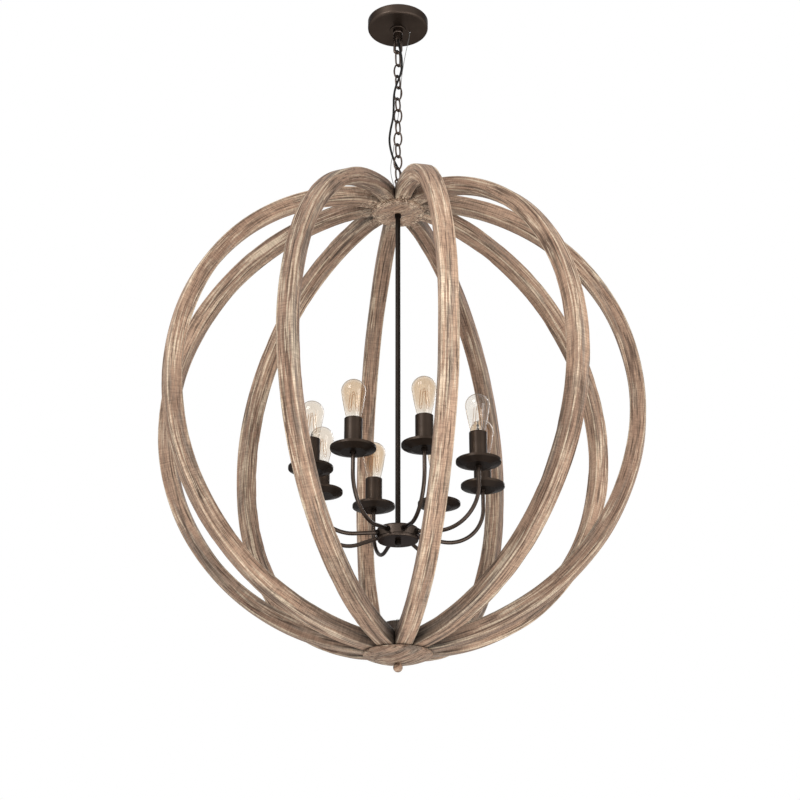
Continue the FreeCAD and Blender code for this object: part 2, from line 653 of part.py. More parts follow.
def make_arm_hub_nipple():
    """Threaded rod from the stem down through the hub body and cover into the knob."""
    radius = stem_bore_radius - SEAT_GAP
    low = cover_bottom - KNOB_THREAD_DEPTH
    return tube(radius - TUBE_WALL, radius, low, arm_hub_top + BOTTOM_COLLAR_HEIGHT)


def make_arm_hub_cover():
    cover = cylinder(COVER_RADIUS, cover_bottom, arm_hub_bottom)
    cover = rounded(cover, COVER_RADIUS, cover_bottom, COVER_EDGE_RADIUS)
    spigot_radius = ARM_HUB_RADIUS - ARM_HUB_WALL - LOOSE_GAP
    cover = cover.fuse(cylinder(spigot_radius, arm_hub_bottom, arm_hub_bottom + ARM_HUB_STEP))
    bore = cylinder(stem_bore_radius, cover_bottom - CUT_PAST, arm_hub_bottom + ARM_HUB_STEP + CUT_PAST)
    return cover.removeSplitter().cut(bore)


def make_arm_hub_knob():
    knob = cylinder(KNOB_RADIUS, knob_bottom, cover_bottom)
    knob = rounded(knob, KNOB_RADIUS, knob_bottom, KNOB_EDGE_RADIUS)
    return knob.cut(cylinder(stem_bore_radius, cover_bottom - KNOB_THREAD_DEPTH, cover_bottom + CUT_PAST))


def arm_points():
    """Corner points of an arm's middle line: inside the hub, start and end of the bend, top."""
    slope = math.radians(ARM_DIP)
    inner_r = ARM_HUB_RADIUS - ARM_HUB_WALL - ARM_INSIDE
    bend_r = CLUSTER_RADIUS - ARM_BEND_RADIUS * (1 + math.sin(slope))
    inner = (inner_r, arm_hole_z - (inner_r - ARM_HUB_RADIUS) * math.tan(slope))
    bend = (bend_r, arm_hole_z - (bend_r - ARM_HUB_RADIUS) * math.tan(slope))
    centre = (CLUSTER_RADIUS - ARM_BEND_RADIUS, bend[1] + ARM_BEND_RADIUS * math.cos(slope))
    upright = (CLUSTER_RADIUS, centre[1])
    top = (CLUSTER_RADIUS, pan_floor_top + ARM_IN_SOCKET)
    half = math.radians((90 - ARM_DIP) / 2)
    middle = (centre[0] + ARM_BEND_RADIUS * math.sin(half), centre[1] - ARM_BEND_RADIUS * math.cos(half))
    return inner, bend, middle, upright, top


def one_arm():
    """Bent tube: a sloping run, one long bend and an upright end."""
    inner, bend, middle, upright, top = arm_points()
    path = Part.Wire([line(inner, bend), arc(bend, middle, upright), line(upright, top)])
    slope = math.radians(ARM_DIP)
    direction = Vec(math.cos(slope), 0, -math.sin(slope))
    start = Vec(inner[0], 0, inner[1])

    def swept(radius):
        ring = Part.Wire(Part.makeCircle(radius, start, direction))
        return path.makePipeShell([ring], True, True)

    return swept(ARM_TUBE_RADIUS).cut(swept(ARM_TUBE_RADIUS - ARM_TUBE_WALL))


def make_arms():
    return Part.makeCompound(around(one_arm()))


def make_arm_bosses():
    """Small collars round the arms, seated on the hub's side."""
    start_r = ARM_HUB_RADIUS - ARM_HUB_WALL
    end_r = ARM_HUB_RADIUS + ARM_BOSS_LENGTH
    boss = arm_axis_cylinder(ARM_BOSS_RADIUS, start_r, end_r)
    bore = arm_axis_cylinder(ARM_TUBE_RADIUS + SEAT_GAP, start_r - CUT_PAST, end_r + CUT_PAST)
    boss = boss.cut(bore)
    boss = boss.cut(cylinder(ARM_HUB_RADIUS + SEAT_GAP, arm_hub_bottom, arm_hub_top))
    return Part.makeCompound(around(boss))


# ---- candle lamps ---------------------------------------------------------------------------
def make_pan_nuts():
    nut = hexagon(PAN_NUT_RADIUS, ARM_TUBE_RADIUS + SEAT_GAP, pan_bottom - PAN_NUT_HEIGHT, pan_bottom)
    return Part.makeCompound(around(nut, CLUSTER_RADIUS))


def make_drip_pans():
    """Shallow dishes of even thickness, with an upright rim."""
    rim = -PAN_RIM_DROP
    hole = ARM_TUBE_RADIUS + SEAT_GAP
    flare_z = rim - PAN_RIM_HEIGHT
    flare_r = PAN_RADIUS - PAN_THICKNESS
    pan = turned_lines([
        (hole, pan_bottom), (PAN_FLOOR_RADIUS, pan_bottom), (PAN_RADIUS, flare_z - PAN_THICKNESS),
        (PAN_RADIUS, rim), (flare_r, rim), (flare_r, flare_z),
        (PAN_FLOOR_RADIUS, pan_floor_top), (hole, pan_floor_top),
    ])
    return Part.makeCompound(around(pan, CLUSTER_RADIUS))


def make_candle_sleeves():
    sleeve = tube(SLEEVE_RADIUS - SLEEVE_WALL, SLEEVE_RADIUS, pan_floor_top, sleeve_top)
    return Part.makeCompound(around(sleeve, CLUSTER_RADIUS))


def make_lamp_sockets():
    """Lamp sockets, screwed on the arm ends, with the bore that takes the bulb's cap."""
    socket = cylinder(SOCKET_RADIUS, pan_floor_top, socket_top)
    socket = socket.cut(cylinder(CAP_RADIUS + LOOSE_GAP, socket_seat, socket_top + CUT_PAST))
    socket = socket.cut(cylinder(ARM_TUBE_RADIUS + SEAT_GAP, pan_floor_top - CUT_PAST,
                                 pan_floor_top + ARM_IN_SOCKET))
    return Part.makeCompound(around(socket, CLUSTER_RADIUS))


def bulb_outline(wall, low):
    """Solid inside the bulb's outline less a wall: a round crown on a slightly bellied cone."""
    neck = BULB_NECK_RADIUS - wall
    crown_radius = BULB_RADIUS - wall
    crown_centre = glass_bottom + BULB_GLASS_HEIGHT - BULB_RADIUS
    drop = math.radians(BULB_CROWN_DROP)
    turn = math.radians((90 - BULB_CROWN_DROP) / 2)
    shoulder = (crown_radius * math.cos(drop), crown_centre - crown_radius * math.sin(drop))
    crown = (crown_radius * math.cos(turn), crown_centre + crown_radius * math.sin(turn))
    side = ((neck + shoulder[0]) / 2 + BULB_SIDE_BELLY, (low + shoulder[1]) / 2)
    pole = (0, crown_centre + crown_radius)
    return turned([
        line((0, low), (neck, low)),
        arc((neck, low), side, shoulder),
        arc(shoulder, crown, pole),
        line(pole, (0, low)),
    ])


def bulb_glass():
    """Pear-shaped glass of even wall, open at the neck."""
    outer = bulb_outline(0, glass_bottom)
    inner = bulb_outline(BULB_WALL, glass_bottom)
    return outer.cut(inner)


def make_bulb(number, glass):
    """Bulb with its screw cap, standing in its socket."""
    cap = cylinder(CAP_RADIUS, cap_bottom, glass_bottom)
    cap = rounded(cap, CAP_RADIUS, cap_bottom, CAP_EDGE_RADIUS)
    bulb = Part.makeCompound([glass, cap])
    return placed(bulb, facing(arm_turns()[number]), CLUSTER_RADIUS)


# ---- cords ----------------------------------------------------------------------------------
def cord(name, route, radius):
    """Round cord along straight runs joined by tangent arcs."""
    points = [Vec(*point) for point in route]
    edges = []
    start = points[0]
    radii = []
    for before, corner, after in zip(points, points[1:], points[2:]):
        back = (before - corner).normalize()
        ahead = (after - corner).normalize()
        half_turn = (math.pi - back.getAngle(ahead)) / 2
        shorter = min((before - corner).Length, (after - corner).Length)
        trim = ROUTE_ARC_SHARE * shorter
        if half_turn < 1e-6:
            continue
        arc_radius = trim / math.tan(half_turn)
        radii.append(arc_radius)
        first = corner + back * trim
        last = corner + ahead * trim
        inward = (back + ahead).normalize()
        middle = corner + inward * (arc_radius / math.cos(half_turn) - arc_radius)
        edges.append(Part.LineSegment(start, first).toShape())
        edges.append(Part.Arc(first, middle, last).toShape())
        start = last
    edges.append(Part.LineSegment(start, points[-1]).toShape())
    path = Part.Wire(edges)
    ring = Part.Wire(Part.makeCircle(radius, points[0], points[1] - points[0]))
    body = path.makePipeShell([ring], True, False)
    expected = math.pi * radius ** 2 * path.Length
    print(f"{name}: length {path.Length:.1f} mm, least arc radius {min(radii):.1f} mm, "
          f"volume share {body.Volume / expected:.4f}")
    return body


# ---- output ---------------------------------------------------------------------------------
def orb_pieces():
    """Every piece that swings with the orb, about the orb's centre."""
    pieces = {
        "hub_eye": make_hub_eye(),
        "hub_tube": make_hub_tube(),
        "hub_washer": make_hub_washer(),
        "hub_nut": make_hub_nut(),
        "top_hub": make_top_hub(),
        "rib_dowels": make_rib_dowels(),
        "stem": make_stem(),
        "stem_collars": make_stem_collars(),
        "arm_hub_body": make_arm_hub_body(),
        "arm_hub_nipple": make_arm_hub_nipple(),
        "arm_hub_cover": make_arm_hub_cover(),
        "arm_hub_knob": make_arm_hub_knob(),
        "lamp_arms": make_arms(),
        "arm_bosses": make_arm_bosses(),
        "pan_nuts": make_pan_nuts(),
        "drip_pans": make_drip_pans(),
        "candle_sleeves": make_candle_sleeves(),
        "lamp_sockets": make_lamp_sockets(),
        "bottom_core": make_bottom_core(),
        "bottom_disc": make_bottom_disc(),
        "bottom_rod": make_bottom_rod(),
        "finial_ball": make_finial_ball(),
    }
    blank = full_rib()
    for number in range(RIB_COUNT):
        pieces[f"rib_{number + 1:02d}"] = make_rib(number, blank)
    glass = bulb_glass()
    for number in range(ARM_COUNT):
        pieces[f"bulb_{number + 1}"] = make_bulb(number, glass)
    return pieces


def all_pieces():
    pieces = {
        "crossbar": make_crossbar(),
        "crossbar_nut": make_crossbar_nut(),
        "canopy_nipple": make_canopy_nipple(),
        "canopy_shell": make_canopy_shell(),
        "canopy_washer": make_canopy_washer(),
        "canopy_ring_nut": make_canopy_ring_nut(),
        "canopy_loop": make_canopy_loop(),
        "supply_cord": cord("supply_cord", SUPPLY_CORD_ROUTE, SUPPLY_CORD_RADIUS),
        "ground_wire": cord("ground_wire", GROUND_WIRE_ROUTE, GROUND_WIRE_RADIUS),
    }
    for number in range(1, LINK_COUNT + 1):
        pieces[f"chain_link_{number:02d}"] = make_link(number)
    for name, shape in orb_pieces().items():
        shape.translate(Vec(0, 0, orb_centre_z))
        pieces[name] = shape
    return pieces


def main():
    os.makedirs("parts", exist_ok=True)
    for name, shape in all_pieces().items():
        shape.exportStep(f"parts/{name}.step")
    print(f"orb centre at {orb_centre_z:.1f} mm")


main()
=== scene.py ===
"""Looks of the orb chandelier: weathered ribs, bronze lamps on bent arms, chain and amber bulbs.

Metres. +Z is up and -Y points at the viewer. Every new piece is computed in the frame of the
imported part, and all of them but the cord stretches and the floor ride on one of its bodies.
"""
import math

import bpy
import numpy as np
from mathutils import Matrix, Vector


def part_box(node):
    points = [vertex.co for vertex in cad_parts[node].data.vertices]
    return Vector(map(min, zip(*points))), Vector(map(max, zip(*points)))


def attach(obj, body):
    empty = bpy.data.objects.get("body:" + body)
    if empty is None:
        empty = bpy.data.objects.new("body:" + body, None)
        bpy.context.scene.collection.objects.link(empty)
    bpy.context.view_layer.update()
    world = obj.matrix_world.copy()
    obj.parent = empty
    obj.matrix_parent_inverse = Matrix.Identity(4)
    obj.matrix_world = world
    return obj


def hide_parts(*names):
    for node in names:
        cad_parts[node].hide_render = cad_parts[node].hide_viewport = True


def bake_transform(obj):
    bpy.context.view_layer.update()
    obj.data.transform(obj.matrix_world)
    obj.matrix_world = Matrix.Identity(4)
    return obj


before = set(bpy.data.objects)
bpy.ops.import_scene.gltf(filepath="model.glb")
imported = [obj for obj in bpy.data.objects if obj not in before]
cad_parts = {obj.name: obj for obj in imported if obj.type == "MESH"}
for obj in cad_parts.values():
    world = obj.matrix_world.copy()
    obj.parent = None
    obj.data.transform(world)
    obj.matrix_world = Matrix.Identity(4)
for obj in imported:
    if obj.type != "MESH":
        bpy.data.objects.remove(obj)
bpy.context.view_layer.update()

bl_info = {
    "name": "Orb chandelier",
    "version": (1, 0, 0),
    "blender": (4, 5, 0),
    "location": "View3D > Sidebar > Chandelier",
    "description": "Builds the visible pieces and finishes of a wooden orb chandelier",
    "category": "Object",
}

# ---- places that the part's own solids give ---------------------------------------------------
ORB_CENTRE = np.array([0.0, 0.0, -1.132])
LINK_NAMES = [f"chain_link_{number:02d}" for number in range(1, 12)]
LINK_TURNS = [55.0 if number % 2 else -10.0 for number in range(1, 12)]
RIB_TURNS = (10.8, 43.4, 81.5, 117.0, 153.1, 189.1, 224.0, 260.9, 296.4, 335.9)
ARM_TURNS = [16.4 + 45.0 * arm for arm in range(8)]
BULB_COATS = ("amber", "bare", "amber", "amber", "amber", "pale", "pale", "amber")
LOOP_HALF_WIRE = 0.00375
RIM_LOSS_AND_SHADE = (0.55, 0.48, 0.40)   # colour at the very edge of the glass: partly the light a slanted wall loses, partly a painted dark outline
NEARLY_ZERO = 0.00001           # radius of the last ring of a turned piece

# ---- the soft lamps: name, place, what they aim at, size and watts -----------------------------
LAMPS = (
    ("key", (-2.6, -3.2, 0.9), (0, 0, -1.1), 2.2, 86),
    ("fill", (3.0, -2.6, -1.6), (0, 0, -1.1), 2.4, 42),
    ("below", (0.6, -1.8, -3.1), (0, 0, -0.9), 2.2, 46),
    ("back", (1.6, 2.8, 0.6), (0, 0, -0.8), 1.6, 40),
)
CHAIN_BODIES = ["ceiling_mount"] + [f"link_{number:02d}" for number in range(1, 12)] + ["orb"]

SUPPLY_CORD_ROUTE = (
    (0, 0, -0.044), (0, 0, -0.064), (0.004, -0.009, -0.086), (0.010, -0.011, -0.118),
    (0.011, -0.012, -0.152), (0.005, -0.0165, -0.184), (-0.005, -0.0165, -0.211),
    (-0.011, -0.0125, -0.240), (-0.011, -0.010, -0.274), (-0.012, -0.009, -0.306),
    (-0.019, -0.006, -0.338), (-0.023, 0, -0.370), (-0.017, 0.007, -0.402), (-0.007, 0.012, -0.430),
    (0.007, 0.016, -0.455), (0.018, 0.016, -0.483), (0.020, 0.014, -0.521), (0.020, 0.014, -0.553),
)
GROUND_WIRE_ROUTE = (
    (0.0315, 0.011, -0.020), (0.0315, 0.011, -0.036), (0.025, 0.011, -0.066), (0.016, 0.012, -0.118),
    (0.009, 0.014, -0.170), (0.007, 0.015, -0.216), (0.004, 0.015, -0.262), (-0.002, 0.0155, -0.306),
    (-0.008, 0.017, -0.352), (-0.012, 0.018, -0.392), (-0.019, 0.015, -0.434), (-0.018, 0.009, -0.468),
    (-0.009, 0.007, -0.504), (-0.009, 0.007, -0.5365),
)


# ---- user's settings --------------------------------------------------------------------------
def length_setting(name, description, default):
    return bpy.props.FloatProperty(name=name, description=description, default=default, unit="LENGTH")


def angle_setting(name, description, degrees):
    return bpy.props.FloatProperty(name=name, description=description, default=math.radians(degrees),
                                   subtype="ANGLE")


def colour_setting(name, description, default):
    return bpy.props.FloatVectorProperty(name=name, description=description, size=3, default=default,
                                         subtype="COLOR", min=0, max=1)


class StageSettings(bpy.types.PropertyGroup):
    camera_distance: length_setting(
        "Camera distance", "How far in front of the orb's axis the camera stands", 3.830)
    camera_height: length_setting("Camera height", "Height of the camera, from the ceiling", -2.749)
    camera_pitch: angle_setting("Camera pitch", "How far the camera looks up", 23.293)
    lens: bpy.props.FloatProperty(
        name="Lens", description="Focal length in millimetres on a 36 mm sensor", default=77.5)
    shift: bpy.props.FloatProperty(
        name="Shift", description="Sideways shift of the frame", default=0.0026, precision=4)
    floor_height: length_setting("Floor height", "Height of the floor, from the ceiling", -3.3)
    backdrop: colour_setting(
        "Backdrop", "Colour of the floor and of what lies behind", (1.0, 1.0, 1.0))


class WoodSettings(bpy.types.PropertyGroup):
    arc_radius: length_setting("Arc radius", "Radius of a rib's middle line", 0.581)
    arc_offset: length_setting(
        "Arc offset", "How far the arc's centre lies past the orb's axis", 0.007)
    width: length_setting("Width", "Width of a rib, round the orb", 0.040)
    depth: length_setting("Depth", "Depth of a rib, towards the orb's middle", 0.038)
    edge_radius: length_setting("Edge radius", "Rounding of a rib's long edges", 0.004)
    crest_start: angle_setting(
        "Crest start", "Angle off the top pole where a rib bends into the hub", 13.95)
    crest_radius: length_setting("Crest radius", "Radius of that bend", 0.274)
    core_radius: length_setting("Core radius", "Radius of the cores that the ribs end on", 0.0351)
    seat_drop: length_setting(
        "Seat drop", "Depth of the ribs' flat seat below the orb's centre", 0.597)
    mitre_gap: length_setting("Mitre gap", "Gap between neighbouring rib ends", 0.0005)
    edge_wear: length_setting("Edge wear", "How deep the worn places of the long edges are", 0.0011)
    brown: colour_setting("Brown", "Main colour of the wood", (0.252, 0.154, 0.103))
    tan: colour_setting("Tan", "Paler colour of the wood", (0.385, 0.250, 0.170))
    grey: colour_setting("Grey wash", "Colour of the grey wash", (0.195, 0.156, 0.124))
    cream: colour_setting("Cream", "Colour of the pale filler in the grain", (0.600, 0.480, 0.350))
    dark: colour_setting("Dark grain", "Colour of the dark streaks", (0.058, 0.034, 0.022))


class MetalSettings(bpy.types.PropertyGroup):
    bronze: colour_setting("Bronze", "Colour of the painted metal", (0.074, 0.054, 0.042))
    bronze_dark: colour_setting("Dark bronze", "Colour of its darker places", (0.054, 0.038, 0.029))
    chain: colour_setting("Chain", "Colour of the chain's wire", (0.080, 0.051, 0.037))
    link_wire: length_setting("Link wire", "Diameter of the chain's wire", 0.0045)
    link_width: length_setting("Link width", "Inner width of a link", 0.015)
    link_bow: length_setting(
        "Link bow", "How far a link's sides bow out past its round ends", 0.00225)
    top_link_bow: length_setting("Top link bow", "The same for the top link", 0.00075)
    supply_cord: length_setting("Supply cord", "Diameter of the supply cord", 0.0056)
    ground_wire: length_setting("Ground wire", "Diameter of the ground wire", 0.0016)


class BulbSettings(bpy.types.PropertyGroup):
    ring_radius: length_setting("Ring radius", "Distance of the bulbs from the stem", 0.213)
    neck_radius: length_setting("Neck radius", "Radius of the glass where it meets the cap", 0.0126)
    belly_radius: length_setting("Belly radius", "Largest radius of the glass", 0.029)
    glass_height: length_setting("Glass height", "Height of the glass above its cap", 0.112)
    cap_height: length_setting("Cap height", "Height of the screw cap", 0.027)
    wall: length_setting("Wall", "Thickness of the glass", 0.0008)
    wire_radius: length_setting("Filament radius", "Radius of the coiled filament", 0.00048)
    amber: colour_setting(
        "Amber", "What one wall of the coated glass lets through", (0.905, 0.842, 0.765))
    clear: colour_setting(
        "Clear", "What one wall of the bare glass lets through", (0.965, 0.960, 0.950))
    filament: colour_setting("Filament", "Colour of the filament", (0.50, 0.25, 0.07))


# ---- meshes from whole arrays -----------------------------------------------------------------
def grid_quads(rows, columns, wrap_rows=False, wrap_columns=True):
    """Corner numbers of the quads between neighbouring rows and columns of a grid of points."""
    row = np.arange(rows if wrap_rows else rows - 1)
    column = np.arange(columns if wrap_columns else columns - 1)
    r, c = (a.ravel() for a in np.meshgrid(row, column, indexing="ij"))
    r_next, c_next = (r + 1) % rows, (c + 1) % columns
    return np.stack([r * columns + c, r * columns + c_next,
                     r_next * columns + c_next, r_next * columns + c], axis=1)


def fan(ring, centre, inward):
    """Triangles from a ring of point numbers to a centre point."""
    after = np.roll(ring, -1)
    first, second = (after, ring) if inward else (ring, after)
    return np.stack([first, second, np.full(len(ring), centre)], axis=1)


def make_piece(name, points, faces, material, body, attributes=None):
    """Smooth mesh object of these points and face arrays, with float or vector attributes on its
    points, riding on a body of the part."""
    mesh = bpy.data.meshes.new(name)
    mesh.from_pydata(points.reshape(-1, 3).tolist(), [], [f for part in faces for f in part.tolist()])
    for label, values in (attributes or {}).items():
        kind, key = ("FLOAT", "value") if values.ndim == 1 else ("FLOAT_VECTOR", "vector")
        attribute = mesh.attributes.new(label, kind, "POINT")
        attribute.data.foreach_set(key, values.astype(np.float32).ravel())
    mesh.shade_smooth()
    mesh.materials.append(material)
    piece = bpy.data.objects.new(name, mesh)
    bpy.context.scene.collection.objects.link(piece)
    if body is not None:
        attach(piece, body)
    return piece


def turned_grid(profile, steps, centre):
    """Points of a profile of (radius, height) pairs carried round an upright axis: row i and
    column j lie at radius_i in the direction 2 pi j / steps."""
    angle = 2 * np.pi * np.arange(steps) / steps
    radius, height = profile[:, :1], profile[:, 1:]
    x = centre[0] + radius * np.cos(angle)
    y = centre[1] + radius * np.sin(angle)
    z = centre[2] + height + 0 * angle
    return np.stack([x, y, z], axis=2)


def tube_grid(path, radius, sides, reference):
    """Rings of a round tube: each path point plus radius times the cosine and sine mix of two
    directions square to the path, the first one square to the reference direction too."""
    tangent = np.gradient(path, axis=0)
    tangent /= np.linalg.norm(tangent, axis=1, keepdims=True)
    across = np.cross(np.broadcast_to(reference, path.shape), tangent)
    across /= np.linalg.norm(across, axis=1, keepdims=True)
    upward = np.cross(tangent, across)
    angle = 2 * np.pi * np.arange(sides) / sides
    cosine, sine = np.cos(angle)[None, :, None], np.sin(angle)[None, :, None]
    return path[:, None] + radius * (across[:, None] * cosine + upward[:, None] * sine)


def closed_tube(path, radius, sides, reference):
    """Points and faces of a tube whose two ends are closed by fans about the path's end points."""
    rings = tube_grid(path, radius, sides, reference)
    rows = len(path)
    points = np.concatenate([rings.reshape(-1, 3), path[:1], path[-1:]])
    first = np.arange(sides)
    last = first + (rows - 1) * sides
    ends = [fan(first, rows * sides, True), fan(last, rows * sides + 1, False)]
    return points, [grid_quads(rows, sides), *ends]


def ripple(seed, waves, *coordinates):
    """Sum of cosine waves of random direction and phase over the given coordinates, scaled to
    about -1 to 1. waves lists the most waves per unit of each coordinate."""
    chance = np.random.default_rng(seed)
    total = 0.0
    count = 9
    for _ in range(count):
        phase = chance.uniform(0, 2 * np.pi)
        for coordinate, most in zip(coordinates, waves):
            phase = phase + 2 * np.pi * chance.uniform(-most, most) * coordinate
        total = total + np.cos(phase)
    return total / math.sqrt(count)


# ---- finishes ---------------------------------------------------------------------------------
class Finish:
    """One material that is built up node by node."""

    def __init__(self, name):
        self.material = bpy.data.materials.new(name)
        self.material.use_nodes = True
        self.tree = self.material.node_tree
        self.tree.nodes.clear()

    def node(self, kind, inputs=None, **settings):
        """A new node with its settings, and its inputs set to values or wired to sockets."""
        node = self.tree.nodes.new(kind)
        for key, value in settings.items():
            setattr(node, key, value)
        for key, value in (inputs or {}).items():
            self.feed(node.inputs[key], value)
        return node

    def feed(self, socket, value):
        if isinstance(value, bpy.types.NodeSocket):
            self.tree.links.new(value, socket)
        elif isinstance(value, (int, float)):
            socket.default_value = value
        else:
            opaque = (1.0,) if len(value) == 3 and socket.type == "RGBA" else ()
            socket.default_value = (*value, *opaque)

    def object_place(self):
        return self.node("ShaderNodeTexCoord").outputs["Object"]

    def attribute(self, name):
        return self.node("ShaderNodeAttribute", attribute_name=name)

    def stretched(self, place, scale, turn=(0, 0, 0), offset=(0, 0, 0)):
        """The place, turned and stretched, for a pattern that runs along one direction."""
        return self.node("ShaderNodeMapping", {
            "Vector": place, "Scale": scale, "Rotation": turn, "Location": offset}).outputs[0]

    def noise(self, place, scale=1.0, detail=2.0, roughness=0.5, distortion=0.0):
        return self.node("ShaderNodeTexNoise", {
            "Vector": place, "Scale": scale, "Detail": detail, "Roughness": roughness,
            "Distortion": distortion}).outputs["Fac"]

    def span(self, value, low, high, to_low=0.0, to_high=1.0):
        """The value's range low to high spread smoothly over a new range, and held outside it."""
        return self.node("ShaderNodeMapRange", {
            "Value": value, "From Min": low, "From Max": high, "To Min": to_low, "To Max": to_high},
            interpolation_type="SMOOTHSTEP").outputs["Result"]

    def math(self, operation, *values):
        node = self.node("ShaderNodeMath", operation=operation)
        for socket, value in zip(node.inputs, values):
            self.feed(socket, value)
        return node.outputs[0]

    def blend(self, share, first, second, mode="MIX"):
        """Second colour over the first one, by a share from 0 to 1."""
        node = self.node("ShaderNodeMix", data_type="RGBA", blend_type=mode)
        for socket, value in ((0, share), (6, first), (7, second)):
            self.feed(node.inputs[socket], value)
        return node.outputs[2]

    def relief(self, height, strength, distance):
        return self.node("ShaderNodeBump", {
            "Height": height, "Strength": strength, "Distance": distance}).outputs[0]

    def done(self, surface):
        self.node("ShaderNodeOutputMaterial", {"Surface": surface})
        return self.material

    def shaded(self, inputs):
        return self.done(self.node("ShaderNodeBsdfPrincipled", inputs).outputs[0])


def wood_finish(name, settings, grain_turn=None, tone=1.0, swirl=0.3, fineness=1.0,
                lamellas=False, rough_rim=None):
    """Weathered wood. Long noise along the grain mixes brown, tan and grey wash. Sharper noise at
    two widths adds dark streaks and cream filler, and short noise across the grain adds the saw's
    marks. The place in the grain is the piece's own grain attribute, or its object coordinates
    turned. A rough rim is a pair of distances off the upright axis, between which specks set in."""
    wood = Finish(name)
    if grain_turn is None:
        place = wood.attribute("grain").outputs["Vector"]
    else:
        place = wood.stretched(wood.object_place(), (1, 1, 1), grain_turn)

    def lengthwise(along, across, detail, roughness, offset=(0, 0, 0)):
        scale = (along, across * fineness, across * fineness)
        return wood.noise(wood.stretched(place, scale, offset=offset), 1.0, detail, roughness, swirl)

    broad = lengthwise(2.8, 34, 3.0, 0.55)
    wash = lengthwise(4.2, 40, 4.0, 0.62, (3, 1, 7))
    band = lengthwise(4.5, 95, 3.0, 0.6, (6, 2, 4))
    streak = lengthwise(11.0, 330, 4.0, 0.65)
    filler = lengthwise(9.0, 250, 4.0, 0.6, (9, 4, 2))
    patch = lengthwise(6.0, 34, 3.0, 0.55, (5, 8, 3))
    fibre = wood.noise(wood.stretched(place, (60, 1500, 1500)), 1.0, 2.0, 0.6)
    saw = wood.noise(wood.stretched(place, (430, 45, 45)), 1.0, 2.0, 0.55)

    colour = wood.blend(wood.span(broad, 0.36, 0.62), settings.brown, settings.tan)
    colour = wood.blend(wood.span(wash, 0.50, 0.66, 0.0, 0.75), colour, settings.grey)
    colour = wood.blend(wood.span(band, 0.34, 0.48, 0.74, 0.0), colour, settings.dark)
    colour = wood.blend(wood.span(streak, 0.38, 0.49, 0.82, 0.0), colour, settings.dark)
    cream_share = wood.math("MULTIPLY", wood.span(filler, 0.50, 0.60),
                            wood.span(patch, 0.44, 0.60, 0.12, 0.84))
    colour = wood.blend(cream_share, colour, settings.cream)
    shade = wood.math("MULTIPLY", wood.span(fibre, 0.30, 0.70, 0.78, 1.22),
                      wood.span(saw, 0.34, 0.66, 0.84, 1.14))
    relief_height = wood.math("MULTIPLY", fibre, 0.45)
    for pattern, share in ((saw, 0.5), (streak, 0.9)):
        relief_height = wood.math("ADD", relief_height, wood.math("MULTIPLY", pattern, share))
    if lamellas:
        colour, shade = with_rib_marks(wood, place, colour, shade, settings)
    if rough_rim:
        flat_place = wood.stretched(wood.object_place(), (1, 1, 0))
        off_axis = wood.node("ShaderNodeVectorMath", {0: flat_place}, operation="LENGTH")
        share = wood.span(off_axis.outputs["Value"], *rough_rim)
        colour = with_specks(wood, place, share, colour, settings)
    level = wood.math("MULTIPLY", shade, tone)
    grey_level = wood.node("ShaderNodeCombineColor", {"Red": level, "Green": level, "Blue": level})
    return wood.shaded({
        "Base Color": wood.blend(1.0, colour, grey_level.outputs[0], "MULTIPLY"),
        "Roughness": wood.span(streak, 0.3, 0.7, 0.80, 0.62),
        "Specular IOR Level": 0.3,
        "Normal": wood.relief(relief_height, 0.45, 0.0014),
    })


def with_specks(wood, place, share, colour, settings):
    """Rough cream filler and dark pits over a share of the surface."""
    specks = wood.noise(wood.stretched(place, (150, 150, 150)), 1.0, 3.0, 0.7, 1.2)
    cream = wood.math("MULTIPLY", share, wood.span(specks, 0.53, 0.60, 0.0, 0.95))
    pits = wood.math("MULTIPLY", share, wood.span(specks, 0.39, 0.47, 0.95, 0.0))
    return wood.blend(pits, wood.blend(cream, colour, settings.cream), settings.dark)


def with_rib_marks(wood, place, colour, shade, settings):
    """What only the ribs have: glued lengths of uneven tone, pale edges that are partly real wear
    and partly a painted highlight, rough filler at their ends, and nearly black painted shade
    where they meet the disc, the hub and each other."""
    split = wood.node("ShaderNodeSeparateXYZ", {"Vector": place})
    along = wood.math("ADD", wood.math("MULTIPLY", split.outputs["X"], 2.3),
                      wood.math("MULTIPLY", split.outputs["Y"], 1.4))
    length_tone = wood.node("ShaderNodeTexWhiteNoise", {"W": wood.math("FLOOR", along)},
                            noise_dimensions="1D").outputs["Value"]
    shade = wood.math("MULTIPLY", shade, wood.span(length_tone, 0.0, 1.0, 0.88, 1.10))
    # The tone attribute holds each rib's own tone together with painted shade by height and on the
    # inner face.
    shade = wood.math("MULTIPLY", shade, wood.attribute("tone").outputs["Fac"])
    seam = wood.math("COMPARE", wood.math("FRACT", along), 0.5, 0.0016)
    colour = wood.blend(wood.math("MULTIPLY", seam, 0.35), colour, settings.dark)

    # Pale corners: partly real wear and partly a painted highlight along the rounded edges.
    wear = wood.attribute("wear").outputs["Fac"]
    chips = wood.noise(wood.stretched(place, (26, 240, 240)), 1.0, 3.0, 0.6)
    worn_and_sheen = wood.math("MULTIPLY", wood.span(wear, 0.55, 0.98), wood.span(chips, 0.36, 0.60, 0.25, 0.95))
    colour = wood.blend(wood.math("MULTIPLY", worn_and_sheen, 0.8), colour, settings.cream)

    colour = with_specks(wood, place, wood.attribute("rough_end").outputs["Fac"], colour, settings)
    # Painted shade, nearly black, where the ribs meet the disc, the hub and each other.
    stain = wood.attribute("stain").outputs["Fac"]
    colour = wood.blend(wood.math("MULTIPLY", stain, 0.92), colour, (0.012, 0.009, 0.007))
    return colour, shade


